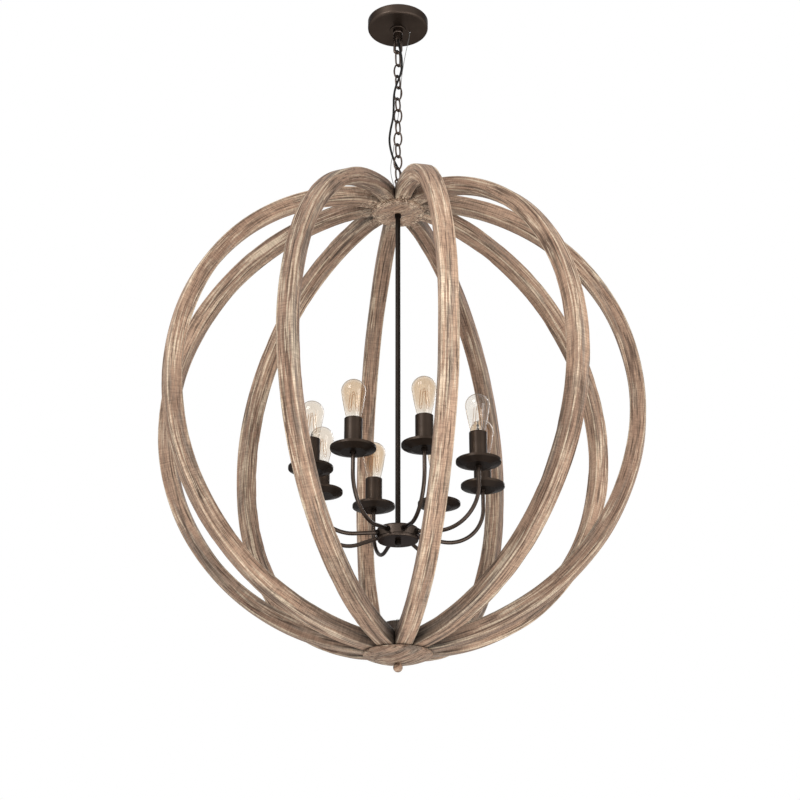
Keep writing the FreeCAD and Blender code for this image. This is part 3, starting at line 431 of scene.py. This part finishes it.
def bronze_finish(name, light, dark, roughness=0.40, metallic=0.92, lacquer=0.10):
    """Painted metal: slow noise leans between two close tones, fine noise gives the satin grain,
    and a clear lacquer gives the glints. Faces seen at a slant are darker: painted shade that
    stands in for a dark room, leaving a painted highlight down the middle of round pieces."""
    metal = Finish(name)
    place = metal.object_place()
    slow = metal.noise(place, 16.0, 3.0, 0.5)
    grain = metal.noise(place, 900.0, 2.0, 0.5)
    facing = metal.node("ShaderNodeLayerWeight", {"Blend": 0.5}).outputs["Facing"]
    colour = metal.blend(metal.span(slow, 0.25, 0.75), dark, light)
    # Painted shade on faces seen at a slant, standing in for a dark room; round pieces keep a painted
    # highlight down their middle.
    painted_slant_shade = metal.blend(1.0, colour, (0.34, 0.32, 0.30), "MULTIPLY")
    return metal.shaded({
        "Base Color": metal.blend(metal.span(facing, 0.12, 0.70), colour, painted_slant_shade),
        "Metallic": metallic,
        "Roughness": metal.span(slow, 0.3, 0.7, roughness + 0.03, roughness - 0.03),
        "Specular Tint": (0.38, 0.35, 0.33),
        "Coat Weight": lacquer,
        "Coat Roughness": 0.18,
        "Normal": metal.relief(grain, 0.10, 0.0003),
    })


def plain_finish(name, colour, roughness, metallic=0.0, scale=250.0, depth=0.15, shine=0.5):
    """One colour with a little mottling and a fine relief."""
    plain = Finish(name)
    mottle = plain.noise(plain.object_place(), scale, 3.0, 0.6)
    low = tuple(0.75 * channel for channel in colour)
    return plain.shaded({
        "Base Color": plain.blend(plain.span(mottle, 0.3, 0.7), low, colour),
        "Metallic": metallic,
        "Specular IOR Level": shine,
        "Roughness": plain.span(mottle, 0.3, 0.7, roughness + 0.06, roughness - 0.06),
        "Normal": plain.relief(mottle, depth, 0.0005),
    })


def glass_finish(name, clear, coat, low_z, high_z):
    """Thin glass: a tinted see-through shader under a faint mirror that grows towards the edges.
    The tint goes from clear at the neck to the coat above it, by height. It is weaker where the
    glass turns away, and the very edge is dark: partly the light a slanted wall loses, partly a
    painted dark outline."""
    glass = Finish(name)
    height = glass.node("ShaderNodeSeparateXYZ", {"Vector": glass.object_place()}).outputs["Z"]
    tint = glass.blend(glass.span(height, low_z, high_z), clear, coat)
    facing = glass.node("ShaderNodeLayerWeight", {"Blend": 0.5}).outputs["Facing"]
    tint = glass.blend(glass.span(facing, 0.25, 0.75, 0.0, 0.55), tint, clear)
    # The dark edge: partly the light a slanted wall loses, partly a painted dark outline.
    tint = glass.blend(glass.span(facing, 0.62, 0.92, 0.0, 0.9), tint, RIM_LOSS_AND_SHADE)
    through = glass.node("ShaderNodeBsdfTransparent", {"Color": tint}).outputs[0]
    mirror = glass.node("ShaderNodeBsdfGlossy", {"Color": (1, 1, 1), "Roughness": 0.03}).outputs[0]
    share = glass.math("MULTIPLY_ADD", glass.math("POWER", facing, 4.0), 0.16, 0.03)
    return glass.done(glass.node("ShaderNodeMixShader", {0: share, 1: through, 2: mirror}).outputs[0])


def dress(names, material):
    """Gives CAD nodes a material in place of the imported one."""
    for name in names:
        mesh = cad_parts[name].data
        mesh.materials.clear()
        mesh.materials.append(material)


# ---- stage ------------------------------------------------------------------------------------
class STAGE_OT_build(bpy.types.Operator):
    """Sets up the camera, the soft lamps, the world and the floor"""
    bl_idname = "chandelier.stage"
    bl_label = "Stage"

    def execute(self, context):
        scene = context.scene
        settings = scene.chandelier_stage
        scene.view_settings.view_transform = "Standard"
        camera_data = bpy.data.cameras.new("camera")
        camera_data.lens = settings.lens
        camera_data.sensor_width = 36.0
        camera_data.shift_x = settings.shift
        camera = bpy.data.objects.new("camera", camera_data)
        camera.location = (0, -settings.camera_distance, settings.camera_height)
        camera.rotation_euler = (math.pi / 2 + settings.camera_pitch, 0, 0)
        scene.collection.objects.link(camera)
        scene.camera = camera

        for name, place, aim, size, watts in LAMPS:
            lamp = bpy.data.lights.new(name, "AREA")
            lamp.size = size
            lamp.energy = watts
            piece = bpy.data.objects.new(name, lamp)
            direction = np.array(aim) - np.array(place)
            piece.location = place
            piece.rotation_euler = (math.acos(-direction[2] / np.linalg.norm(direction)), 0,
                                    math.atan2(-direction[0], direction[1]))
            scene.collection.objects.link(piece)
        self.make_world(scene)
        self.make_floor(settings)
        return {"FINISHED"}

    def make_world(self, scene):
        """White where a camera, glossy or transmission ray meets it, and a little dimmer as light."""
        world = bpy.data.worlds.new("studio")
        world.use_nodes = True
        tree = world.node_tree
        tree.nodes.clear()
        path = tree.nodes.new("ShaderNodeLightPath").outputs
        seen = path["Is Camera Ray"]
        for kind in ("Is Transmission Ray", "Is Glossy Ray"):
            either = tree.nodes.new("ShaderNodeMath")
            either.operation = "MAXIMUM"
            tree.links.new(seen, either.inputs[0])
            tree.links.new(path[kind], either.inputs[1])
            seen = either.outputs[0]
        strength = tree.nodes.new("ShaderNodeMapRange")
        strength.inputs["To Min"].default_value = 0.72
        tree.links.new(seen, strength.inputs["Value"])
        background = tree.nodes.new("ShaderNodeBackground")
        background.inputs["Color"].default_value = (1, 1, 1, 1)
        tree.links.new(strength.outputs["Result"], background.inputs["Strength"])
        output = tree.nodes.new("ShaderNodeOutputWorld")
        tree.links.new(background.outputs[0], output.inputs["Surface"])
        scene.world = world

    def make_floor(self, settings):
        """A square floor far below the orb."""
        half = 6.0
        corner = np.array([[-half, -half], [half, -half], [half, half], [-half, half]])
        points = np.column_stack([corner, np.full(4, settings.floor_height)])
        paint = Finish("floor_paint")
        floor_colour = [0.9 * channel for channel in settings.backdrop]
        material = paint.shaded({"Base Color": floor_colour, "Roughness": 0.9})
        floor = make_piece("floor", points, [np.array([[0, 1, 2, 3]])], material, None)


# ---- cords ------------------------------------------------------------------------------------
def spline_points(name, route):
    """Points along the smooth spline whose control points are the route's points."""
    data = bpy.data.curves.new(name, "CURVE")
    data.dimensions = "3D"
    data.resolution_u = 10
    spline = data.splines.new("NURBS")
    spline.points.add(len(route) - 1)
    spline.points.foreach_set("co", [value for point in route for value in (*point, 1.0)])
    spline.order_u = 3
    spline.use_endpoint_u = True
    curve = bpy.data.objects.new(name, data)
    bpy.context.scene.collection.objects.link(curve)
    line = bpy.data.meshes.new_from_object(curve)
    points = np.empty(len(line.vertices) * 3)
    line.vertices.foreach_get("co", points)
    bpy.data.objects.remove(curve)
    bpy.data.curves.remove(data)
    bpy.data.meshes.remove(line)
    return points.reshape(-1, 3)


def chain_rods(link_wire):
    """Heights where neighbouring chain bodies meet: the middle of the lower rod of each link, and
    of the canopy loop above them."""
    lows = [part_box(name)[0].z + link_wire / 2 for name in LINK_NAMES]
    return [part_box("canopy_loop")[0].z + LOOP_HALF_WIRE] + lows


def cord_stretches(name, node, route, diameter, material, link_wire):
    """The cord in one stretch for each joint of the chain, each stretch running from the middle of
    one link to the middle of the next. The stretches ride on no body."""
    line = spline_points(name, route)
    rods = np.array(chain_rods(link_wire))
    middles = (rods[:-1] + rods[1:]) / 2
    cuts = np.concatenate([[line[0, 2]], middles, [line[-1, 2]]])
    samples = 26
    for number, (top, low) in enumerate(zip(cuts[:-1], cuts[1:])):
        height = np.linspace(top, low, samples)
        sideways = [np.interp(-height, -line[:, 2], line[:, axis]) for axis in (0, 1)]
        path = np.stack(sideways + [height], axis=1)
        points, faces = closed_tube(path, diameter / 2, 16, np.array([0.0, 1.0, 0.0]))
        piece = make_piece(f"{name}_{number + 1:02d}", points, faces, material, None)
        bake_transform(piece)
        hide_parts(node)


class CORDS_OT_build(bpy.types.Operator):
    """Makes the supply cord and the ground wire that wind down through the chain"""
    bl_idname = "chandelier.cords"
    bl_label = "Cords"

    def execute(self, context):
        settings = context.scene.chandelier_metal
        black = plain_finish("cord_jacket", (0.008, 0.007, 0.006), 0.6, scale=400.0, shine=0.15)
        bare = plain_finish("bare_wire", (0.17, 0.165, 0.155), 0.55, scale=800.0, shine=0.2)
        cord_stretches("supply_cord_run", "supply_cord", SUPPLY_CORD_ROUTE, settings.supply_cord,
                       black, settings.link_wire)
        cord_stretches("ground_wire_run", "ground_wire", GROUND_WIRE_ROUTE, settings.ground_wire,
                       bare, settings.link_wire)
        return {"FINISHED"}


# ---- wooden ribs ------------------------------------------------------------------------------
def rib_line(wood):
    """Middle line of a rib as radius, height, outward direction and length along it: a long arc
    from the bottom core, a tighter arc over the top, and a level run to the top core."""
    low = math.asin((wood.core_radius + wood.arc_offset) / wood.arc_radius)
    arc_angle = np.linspace(low, math.pi - wood.crest_start, 250)
    crest_angle = np.linspace(wood.crest_start, 0.0, 16)[1:]
    crest_r = (wood.arc_radius - wood.crest_radius) * math.sin(wood.crest_start) - wood.arc_offset
    crest_z = (wood.arc_radius - wood.crest_radius) * math.cos(wood.crest_start)
    level_r = np.linspace(crest_r, wood.core_radius, 12)[1:]
    radius = np.concatenate([
        wood.arc_radius * np.sin(arc_angle) - wood.arc_offset,
        crest_r + wood.crest_radius * np.sin(crest_angle), level_r])
    height = np.concatenate([
        -wood.arc_radius * np.cos(arc_angle),
        crest_z + wood.crest_radius * np.cos(crest_angle),
        np.full(len(level_r), crest_z + wood.crest_radius)])
    out_r = np.concatenate([np.sin(arc_angle), np.sin(crest_angle), np.zeros(len(level_r))])
    out_z = np.concatenate([-np.cos(arc_angle), np.cos(crest_angle), np.ones(len(level_r))])
    step = np.hypot(np.diff(radius), np.diff(height))
    return radius, height, out_r, out_z, np.concatenate([[0.0], np.cumsum(step)])


def rib_section(wood):
    """Rounded rectangle as across, outward and share of corner: each corner is a quarter circle,
    with three points on each flat between them."""
    half_w, half_d, edge = wood.width / 2, wood.depth / 2, wood.edge_radius
    quarter = np.radians(np.linspace(0, 90, 6))
    across, outward, corner = [], [], []
    for turn, (side, face) in enumerate(((1, 1), (-1, 1), (-1, -1), (1, -1))):
        angle = quarter + turn * np.pi / 2
        across.append(side * (half_w - edge) + edge * np.cos(angle))
        outward.append(face * (half_d - edge) + edge * np.sin(angle))
        corner.append(np.sin(2 * quarter) ** 0.5)
        following = ((-1, 1), (-1, -1), (1, -1), (1, 1))[turn]
        end = (across[-1][-1], outward[-1][-1])
        angle_next = (turn + 1) * np.pi / 2
        start = (following[0] * (half_w - edge) + edge * math.cos(angle_next),
                 following[1] * (half_d - edge) + edge * math.sin(angle_next))
        share = np.array([0.08, 0.3, 0.5, 0.7, 0.92])
        across.append(end[0] + (start[0] - end[0]) * share)
        outward.append(end[1] + (start[1] - end[1]) * share)
        corner.append(np.zeros(len(share)))
    return np.concatenate(across), np.concatenate(outward), np.concatenate(corner)


def rib_points(wood, number):
    """Rib surface: the section carried along the middle line. Its sides draw in towards the hub
    so that neighbours meet on a mitre, its underside is cut flat on the bottom disc, and slow
    waves and worn edges make it uneven. Each rib has its own tone, and painted shade makes it
    palest halfway up, darker towards both ends and darker on the lower inner face. Painted shade,
    nearly black, also covers the seat, the tips and the sides near both ends, where the ribs meet
    the disc, the hub and each other."""
    radius, height, out_r, out_z, along = rib_line(wood)
    across, outward, corner = rib_section(wood)
    turns = np.array(RIB_TURNS)
    here = turns[number]
    to_next = (turns[(number + 1) % len(turns)] - here) % 360 / 2
    to_last = (here - turns[number - 1]) % 360 / 2

    s, a = along[:, None], across[None, :]
    n = outward[None, :] + 0 * s
    wander = 0.0004 * ripple(10 + number, (5.0, 30.0, 30.0), s, a, n)
    chips = np.clip(ripple(40 + number, (14.0, 60.0, 60.0), s, a, n) - 0.2, 0, 1)
    shrink = 1 + (wander - wood.edge_wear * chips * corner[None, :]) / (wood.depth / 2)
    x = radius[:, None] + n * shrink * out_r[:, None]
    z = height[:, None] + n * shrink * out_z[:, None]
    half = wood.width / 2
    room_next = np.clip(((x * math.tan(math.radians(to_next))) - wood.mitre_gap) / half, 0, 1)
    room_last = np.clip(((x * math.tan(math.radians(to_last))) - wood.mitre_gap) / half, 0, 1)
    y = a * shrink * np.where(a > 0, room_next, room_last)
    x = np.maximum(x, wood.core_radius)
    z = np.maximum(z, -wood.seat_drop)

    direction = math.radians(here - 90)
    turned = np.stack([x * math.cos(direction) - y * math.sin(direction),
                       x * math.sin(direction) + y * math.cos(direction), z], axis=2)
    grain = np.stack([s + 0 * a + 4.7 * number, a + 0 * s + 0.31 * number, n + 0.17 * number], axis=2)

    def near(distance, reach, fade):
        """1 within the reach less the fade, 0 past the reach, and a ramp between."""
        return np.clip((reach - distance) / fade, 0, 1)

    from_disc, from_hub = s, along[-1] - s
    disc_radius = 0.11
    rough_end = near(from_hub, 0.085, 0.050) * np.where(n < 0.6 * wood.depth / 2, 1.0, 0.35)
    # Painted shade, nearly black in the finish: on the seat where the rib sits on the disc, at both
    # tips, and on the side faces near both ends, where neighbouring ribs meet.
    seat = near(z + wood.seat_drop, 0.0035, 0.003) * (x < disc_radius)
    tips = np.maximum(near(from_disc, 0.016, 0.012), 0.5 * near(from_hub, 0.010, 0.008))
    sides = np.maximum(0.80 * near(from_disc, 0.150, 0.090), 0.55 * near(from_hub, 0.120, 0.080))
    side_face = np.clip((np.abs(a) / half - 0.85) / 0.12, 0, 1)
    stain = np.maximum(np.maximum(seat, tips), side_face * sides)
    # Pale marks along the rounded corners: partly real wear, partly a painted highlight.
    wear = corner[None, :] + 0 * s
    # Painted shade: besides each rib's own tone, the level is palest halfway up, darker towards both
    # ends and darker on the lower inner face.
    inner = np.clip(0.5 - 1.3 * n / wood.depth, 0, 1)
    level = height[:, None] / wood.arc_radius
    tone = (1.0 + 0.07 * math.sin(2.4 * number + 0.8)) * (0.94 + 0.20 * (1 - level ** 2))
    tone = tone * (1 - inner * (0.04 + 0.22 * np.clip(-level, 0, 1)))
    return turned + ORB_CENTRE, {
        "grain": grain, "wear": wear, "rough_end": rough_end, "stain": stain, "tone": tone}


class RIBS_OT_build(bpy.types.Operator):
    """Makes the ten bent wooden ribs with mitred ends and worn edges"""
    bl_idname = "chandelier.ribs"
    bl_label = "Ribs"

    def execute(self, context):
        wood = context.scene.chandelier_wood
        material = wood_finish("weathered_rib_wood", wood, lamellas=True)
        for number in range(len(RIB_TURNS)):
            points, attributes = rib_points(wood, number)
            rows, columns = points.shape[:2]
            ends = np.stack([points[0].mean(axis=0), points[-1].mean(axis=0)])
            first = np.arange(columns)
            last = first + (rows - 1) * columns
            faces = [grid_quads(rows, columns)[:, ::-1], fan(first, rows * columns, False),
                     fan(last, rows * columns + 1, True)]
            whole = {}
            for label, values in attributes.items():
                flat = values.reshape(rows * columns, -1)
                flat = np.concatenate([flat, flat[:1], flat[-1:]])
                whole[label] = flat if flat.shape[1] == 3 else flat[:, 0]
            points = np.concatenate([points.reshape(-1, 3), ends])
            name = f"bent_rib_{number + 1:02d}"
            rib = make_piece(name, points, faces, material, "orb", whole)
            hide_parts(f"rib_{number + 1:02d}")
        return {"FINISHED"}


# ---- turned wood ------------------------------------------------------------------------------
class HUBS_OT_build(bpy.types.Operator):
    """Finishes the turned top hub, the bottom disc, the cores and the finial"""
    bl_idname = "chandelier.hubs"
    bl_label = "Hubs"

    def execute(self, context):
        wood = context.scene.chandelier_wood
        hub_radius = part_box("top_hub")[1].x
        disc_grain = (0.0, 0.12, 0.62)
        turned = wood_finish("turned_hub_wood", wood, grain_turn=(0.2, 0.1, 0.7), tone=1.10, swirl=3.2,
                             fineness=0.6, rough_rim=(0.60 * hub_radius, 0.95 * hub_radius))
        disc = wood_finish("turned_disc_wood", wood, grain_turn=disc_grain, tone=0.80, fineness=0.8)
        ball = wood_finish("turned_finial_wood", wood, grain_turn=disc_grain, tone=1.15)
        # Painted shade: the core is painted very dark, for the shade inside the cage between the ribs
        # above the disc.
        dark = wood_finish("core_wood_painted_shade", wood, grain_turn=(0.0, 1.5, 0.0), tone=0.16)
        dowel = plain_finish("dowel_wood", (0.50, 0.37, 0.23), 0.6, scale=120.0)
        dress(["top_hub"], turned)
        dress(["bottom_disc"], disc)
        dress(["finial_ball"], ball)
        dress(["bottom_core"], dark)
        dress(["rib_dowels"], dowel)
        return {"FINISHED"}


# ---- ceiling hardware -------------------------------------------------------------------------
class CANOPY_OT_build(bpy.types.Operator):
    """Finishes the canopy, its washer, nut and loop, and the hidden crossbar"""
    bl_idname = "chandelier.canopy"
    bl_label = "Canopy"

    def execute(self, context):
        metal = context.scene.chandelier_metal
        bronze = bronze_finish("canopy_bronze", metal.bronze, metal.bronze_dark, 0.40)
        bright = bronze_finish("coupling_bronze", metal.chain, metal.bronze, 0.24, lacquer=0.5)
        steel = plain_finish("zinc_steel", (0.50, 0.50, 0.49), 0.32, metallic=0.9)
        dress(["canopy_shell", "canopy_washer"], bronze)
        dress(["canopy_ring_nut", "canopy_loop", "hub_eye"], bright)
        dress(["crossbar", "crossbar_nut", "canopy_nipple", "hub_washer", "hub_nut", "bottom_rod",
               "arm_hub_nipple"], steel)
        dress(["hub_tube"], plain_finish("aged_brass_tube", (0.20, 0.145, 0.075), 0.42, metallic=0.8))
        return {"FINISHED"}


# ---- chain ------------------------------------------------------------------------------------
def link_points(metal, bow, low_z, high_z, turn):
    """Oval link: a circle of wire carried round four tangent arcs, two round ends and two bowed
    sides, slightly thicker at the weld on one side. An arc's points lie at its radius from its
    centre in the direction of the angle, and the wire's circle stands in that direction too."""
    wire, sides = metal.link_wire / 2, 18
    half_width = metal.link_width / 2 + wire
    half_length = (high_z - low_z) / 2 - wire
    end_radius = half_width - bow
    reach = half_length - end_radius
    side_radius = (half_width ** 2 + reach ** 2 - end_radius ** 2) / (2 * bow)
    side_centre = side_radius - half_width
    meeting = math.atan2(reach, side_centre)
    arcs = ((-side_centre, 0.0, side_radius, -meeting, meeting),
            (0.0, reach, end_radius, meeting, np.pi - meeting),
            (side_centre, 0.0, side_radius, np.pi - meeting, np.pi + meeting),
            (0.0, -reach, end_radius, np.pi + meeting, 2 * np.pi - meeting))
    steps = 24
    angle = np.concatenate([np.linspace(start, end, steps, endpoint=False) for *_, start, end in arcs])
    arc_x, arc_z, radius = (np.repeat([arc[place] for arc in arcs], steps) for place in range(3))
    centre_x = arc_x + radius * np.cos(angle)
    centre_z = (low_z + high_z) / 2 + arc_z + radius * np.sin(angle)
    weld_reach, weld_growth = 0.0016, 0.10
    weld = np.exp(-((centre_z - (low_z + high_z) / 2) / weld_reach) ** 2) * (centre_x < 0)
    size = wire * (1 + weld_growth * weld)
    ring = 2 * np.pi * np.arange(sides) / sides
    x = centre_x[:, None] + size[:, None] * np.cos(ring) * np.cos(angle)[:, None]
    y = size[:, None] * np.sin(ring) + 0 * x
    z = centre_z[:, None] + size[:, None] * np.cos(ring) * np.sin(angle)[:, None]
    t = math.radians(turn)
    return np.stack([x * math.cos(t) - y * math.sin(t), x * math.sin(t) + y * math.cos(t), z], axis=2)


class CHAIN_OT_build(bpy.types.Operator):
    """Makes the chain's links of round wire, each with its weld"""
    bl_idname = "chandelier.chain"
    bl_label = "Chain"

    def execute(self, context):
        metal = context.scene.chandelier_metal
        material = bronze_finish("chain_wire", metal.chain, metal.bronze_dark, 0.26, lacquer=0.3)
        for name, body, turn in zip(LINK_NAMES, CHAIN_BODIES[1:-1], LINK_TURNS):
            low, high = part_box(name)
            bow = metal.top_link_bow if name == LINK_NAMES[0] else metal.link_bow
            points = link_points(metal, bow, low.z, high.z, turn)
            faces = [grid_quads(points.shape[0], points.shape[1], wrap_rows=True)[:, ::-1]]
            link = make_piece(f"wire_{body}", points, faces, material, body)
            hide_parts(name)
        return {"FINISHED"}


# ---- stem, arm hub, arms and lamps ------------------------------------------------------------
class METAL_OT_build(bpy.types.Operator):
    """Finishes the stem, the arm hub, the arms, pans, sleeves and sockets"""
    bl_idname = "chandelier.lamp_metal"
    bl_label = "Stem and lamps"

    def execute(self, context):
        metal = context.scene.chandelier_metal
        bronze = bronze_finish("arm_bronze", (0.075, 0.054, 0.042), metal.bronze_dark, 0.30,
                               lacquer=0.2)
        hub = bronze_finish("arm_hub_bronze", (0.096, 0.073, 0.059), metal.bronze, 0.36)
        satin = bronze_finish("lamp_bronze", (0.054, 0.038, 0.028), (0.038, 0.026, 0.019), 0.46, 0.85)
        dark = bronze_finish("stem_bronze", (0.018, 0.013, 0.010), (0.012, 0.009, 0.007), 0.40, 0.7,
                             lacquer=0.06)
        dress(["lamp_arms", "pan_nuts"], bronze)
        dress(["arm_hub_body", "arm_hub_cover"], hub)
        dress(["drip_pans", "candle_sleeves"], satin)
        dress(["stem", "stem_collars", "arm_bosses", "arm_hub_knob"], dark)
        dress(["lamp_sockets"], plain_finish("socket_black", (0.022, 0.021, 0.020), 0.5))
        return {"FINISHED"}


# ---- bulbs ------------------------------------------------------------------------------------
def bulb_profile(bulb, wall):
    """Glass outline as (radius, height): a straight neck, a slightly bellied cone, a round crown
    from 15 degrees below its widest place to the top, less the wall."""
    belly = bulb.belly_radius - wall
    centre = bulb.glass_height - bulb.belly_radius
    drop = math.radians(15)
    shoulder_r, shoulder_z = belly * math.cos(drop), centre - belly * math.sin(drop)
    share = np.linspace(0, 1, 26)
    neck = bulb.neck_radius - wall
    side_belly = 0.0018
    bow = side_belly * 4 * share * (1 - share)
    ease = share ** 1.12
    side_r = neck + (shoulder_r - neck) * ease + bow
    side_z = share * shoulder_z
    angle = np.linspace(-drop, np.pi / 2, 26)[1:]
    crown_r = belly * np.cos(angle)
    crown_z = centre + belly * np.sin(angle)
    crown_r[-1] = NEARLY_ZERO
    return np.stack([np.concatenate([side_r, crown_r]), np.concatenate([side_z, crown_z])], axis=1)


def bulb_glass(bulb, centre):
    """Outer and inner wall of the glass, joined round the neck, with the small sealed tip on top."""
    outer = bulb_profile(bulb, 0.0)
    tip_height, tip_radius = 0.0034, 0.0016
    near_axis = np.exp(-(outer[:, 0] / tip_radius) ** 2)
    outer[:, 1] += tip_height * near_axis * (outer[:, 1] > bulb.glass_height / 2)
    inner = bulb_profile(bulb, bulb.wall)[::-1]
    steps = 56
    grid = turned_grid(np.concatenate([outer, inner]), steps, centre)
    rows = len(outer) + len(inner)
    quads = grid_quads(rows, steps, wrap_rows=True)
    crown = (len(outer) - 1) * steps
    keep = ~((quads[:, 0] >= crown) & (quads[:, 0] < crown + steps))
    return grid, quads[keep]


def bulb_cap_profile(bulb):
    """Screw cap as (radius, height): a contact stud, a shoulder, and rounded thread ridges up to
    the glass."""
    low = -bulb.cap_height
    thread_radius, ridge, pitch = 0.0124, 0.0006, 0.0036
    thread_z = np.linspace(low + 0.0065, -0.004, 46)
    thread_r = thread_radius + ridge * np.cos((thread_z - low) * 2 * np.pi / pitch)
    start = [(NEARLY_ZERO, low), (0.0042, low), (0.0045, low + 0.0012), (0.0085, low + 0.0035)]
    end = [(0.0130, -0.0030), (0.0130, 0.0012), (NEARLY_ZERO, 0.0014)]
    return np.array(start + list(zip(thread_r, thread_z)) + end)


def filament_path(strands=4):
    """Filament line about the bulb's axis: it goes round once while its height swings between a
    lower and an upper ring of hooks, with rounded turns, on a radius that narrows upwards."""
    t = np.linspace(0, 1, strands * 64 + 1)[:-1]
    swing = np.cos(2 * np.pi * strands * t)
    swing = np.sign(swing) * np.abs(swing) ** 0.35
    middle_height, half_height = 0.058, 0.021
    middle_radius, half_taper = 0.0105, 0.0025
    height = middle_height + half_height * swing
    radius = middle_radius - half_taper * swing
    angle = 2 * np.pi * (t + 0.012 * np.sin(2 * np.pi * 2 * strands * t))
    return np.stack([radius * np.cos(angle), radius * np.sin(angle), height], axis=1)


class BULBS_OT_build(bpy.types.Operator):
    """Makes the bulbs: coated glass, screw cap, glass mount and caged filament"""
    bl_idname = "chandelier.bulbs"
    bl_label = "Bulbs"

    def execute(self, context):
        bulb = context.scene.chandelier_bulb
        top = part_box("bulb_1")[1].z
        neck_z = top - bulb.glass_height
        amber, clear = np.array(bulb.amber), np.array(bulb.clear)
        coats = {"amber": amber, "pale": (2 * amber + 3 * clear) / 5, "bare": (amber + 5 * clear) / 6}
        glasses = {label: glass_finish(f"{label}_bulb_glass", bulb.clear, coat.tolist(), neck_z + 0.004,
                                       neck_z + 0.062) for label, coat in coats.items()}
        mount = glass_finish("mount_glass", bulb.clear, bulb.clear, 0.0, 1.0)
        brass = plain_finish("cap_brass", (0.55, 0.42, 0.22), 0.35, metallic=0.9)
        wire = plain_finish("filament_wire", bulb.filament, 0.5, metallic=0.3)
        for number, turn in enumerate(ARM_TURNS):
            angle = math.radians(turn - 90)
            across = bulb.ring_radius * np.array([math.cos(angle), math.sin(angle)])
            centre = np.append(across, neck_z)
            self.make_bulb(bulb, number + 1, centre, glasses[BULB_COATS[number]], mount, brass, wire)
        return {"FINISHED"}

    def make_bulb(self, bulb, number, centre, glass, mount, brass, wire):
        grid, faces = bulb_glass(bulb, centre)
        cap = turned_grid(bulb_cap_profile(bulb), 40, centre)
        stem = np.array([
            (NEARLY_ZERO, 0.0), (0.0085, 0.001), (0.0060, 0.010), (0.0035, 0.020), (0.0030, 0.034),
            (0.0012, 0.037), (0.0009, 0.078), (0.0016, 0.080), (NEARLY_ZERO, 0.0815)])
        rod = turned_grid(stem, 20, centre)
        path = filament_path()
        coil = tube_grid(path + centre, bulb.wire_radius, 8, path * [1, 1, 0])
        for label, points, quads, material in (
                ("glass", grid, faces, glass),
                ("cap", cap, grid_quads(len(cap), 40), brass),
                ("mount", rod, grid_quads(len(rod), 20), mount),
                ("filament", coil, grid_quads(len(coil), 8, wrap_rows=True), wire)):
            piece = make_piece(f"bulb_{number}_{label}", points, [quads], material, f"lamp_{number}")
            if label == "glass":
                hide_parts(f"bulb_{number}")


# ---- panel and registration -------------------------------------------------------------------
STEPS = (STAGE_OT_build, CORDS_OT_build, RIBS_OT_build, HUBS_OT_build, CANOPY_OT_build, CHAIN_OT_build,
         METAL_OT_build, BULBS_OT_build)
GROUPS = {"chandelier_stage": StageSettings, "chandelier_wood": WoodSettings,
          "chandelier_metal": MetalSettings, "chandelier_bulb": BulbSettings}


class CHANDELIER_PT_panel(bpy.types.Panel):
    """Lists the steps and the sizes of the chandelier"""
    bl_idname = "CHANDELIER_PT_panel"
    bl_label = "Orb chandelier"
    bl_space_type = "VIEW_3D"
    bl_region_type = "UI"
    bl_category = "Chandelier"

    def draw(self, context):
        for step in STEPS:
            self.layout.operator(step.bl_idname)
        for label, group in GROUPS.items():
            box = self.layout.box()
            for name in group.__annotations__:
                box.prop(getattr(context.scene, label), name)


def register():
    for item in (*GROUPS.values(), *STEPS, CHANDELIER_PT_panel):
        bpy.utils.register_class(item)
    for label, group in GROUPS.items():
        setattr(bpy.types.Scene, label, bpy.props.PointerProperty(type=group))


def unregister():
    for label in GROUPS:
        delattr(bpy.types.Scene, label)
    for item in reversed((*GROUPS.values(), *STEPS, CHANDELIER_PT_panel)):
        bpy.utils.unregister_class(item)


def main():
    register()
    bpy.ops.chandelier.stage()
    bpy.ops.chandelier.cords()
    bpy.ops.chandelier.ribs()
    bpy.ops.chandelier.hubs()
    bpy.ops.chandelier.canopy()
    bpy.ops.chandelier.chain()
    bpy.ops.chandelier.lamp_metal()
    bpy.ops.chandelier.bulbs()


if __name__ == "__main__":
    main()
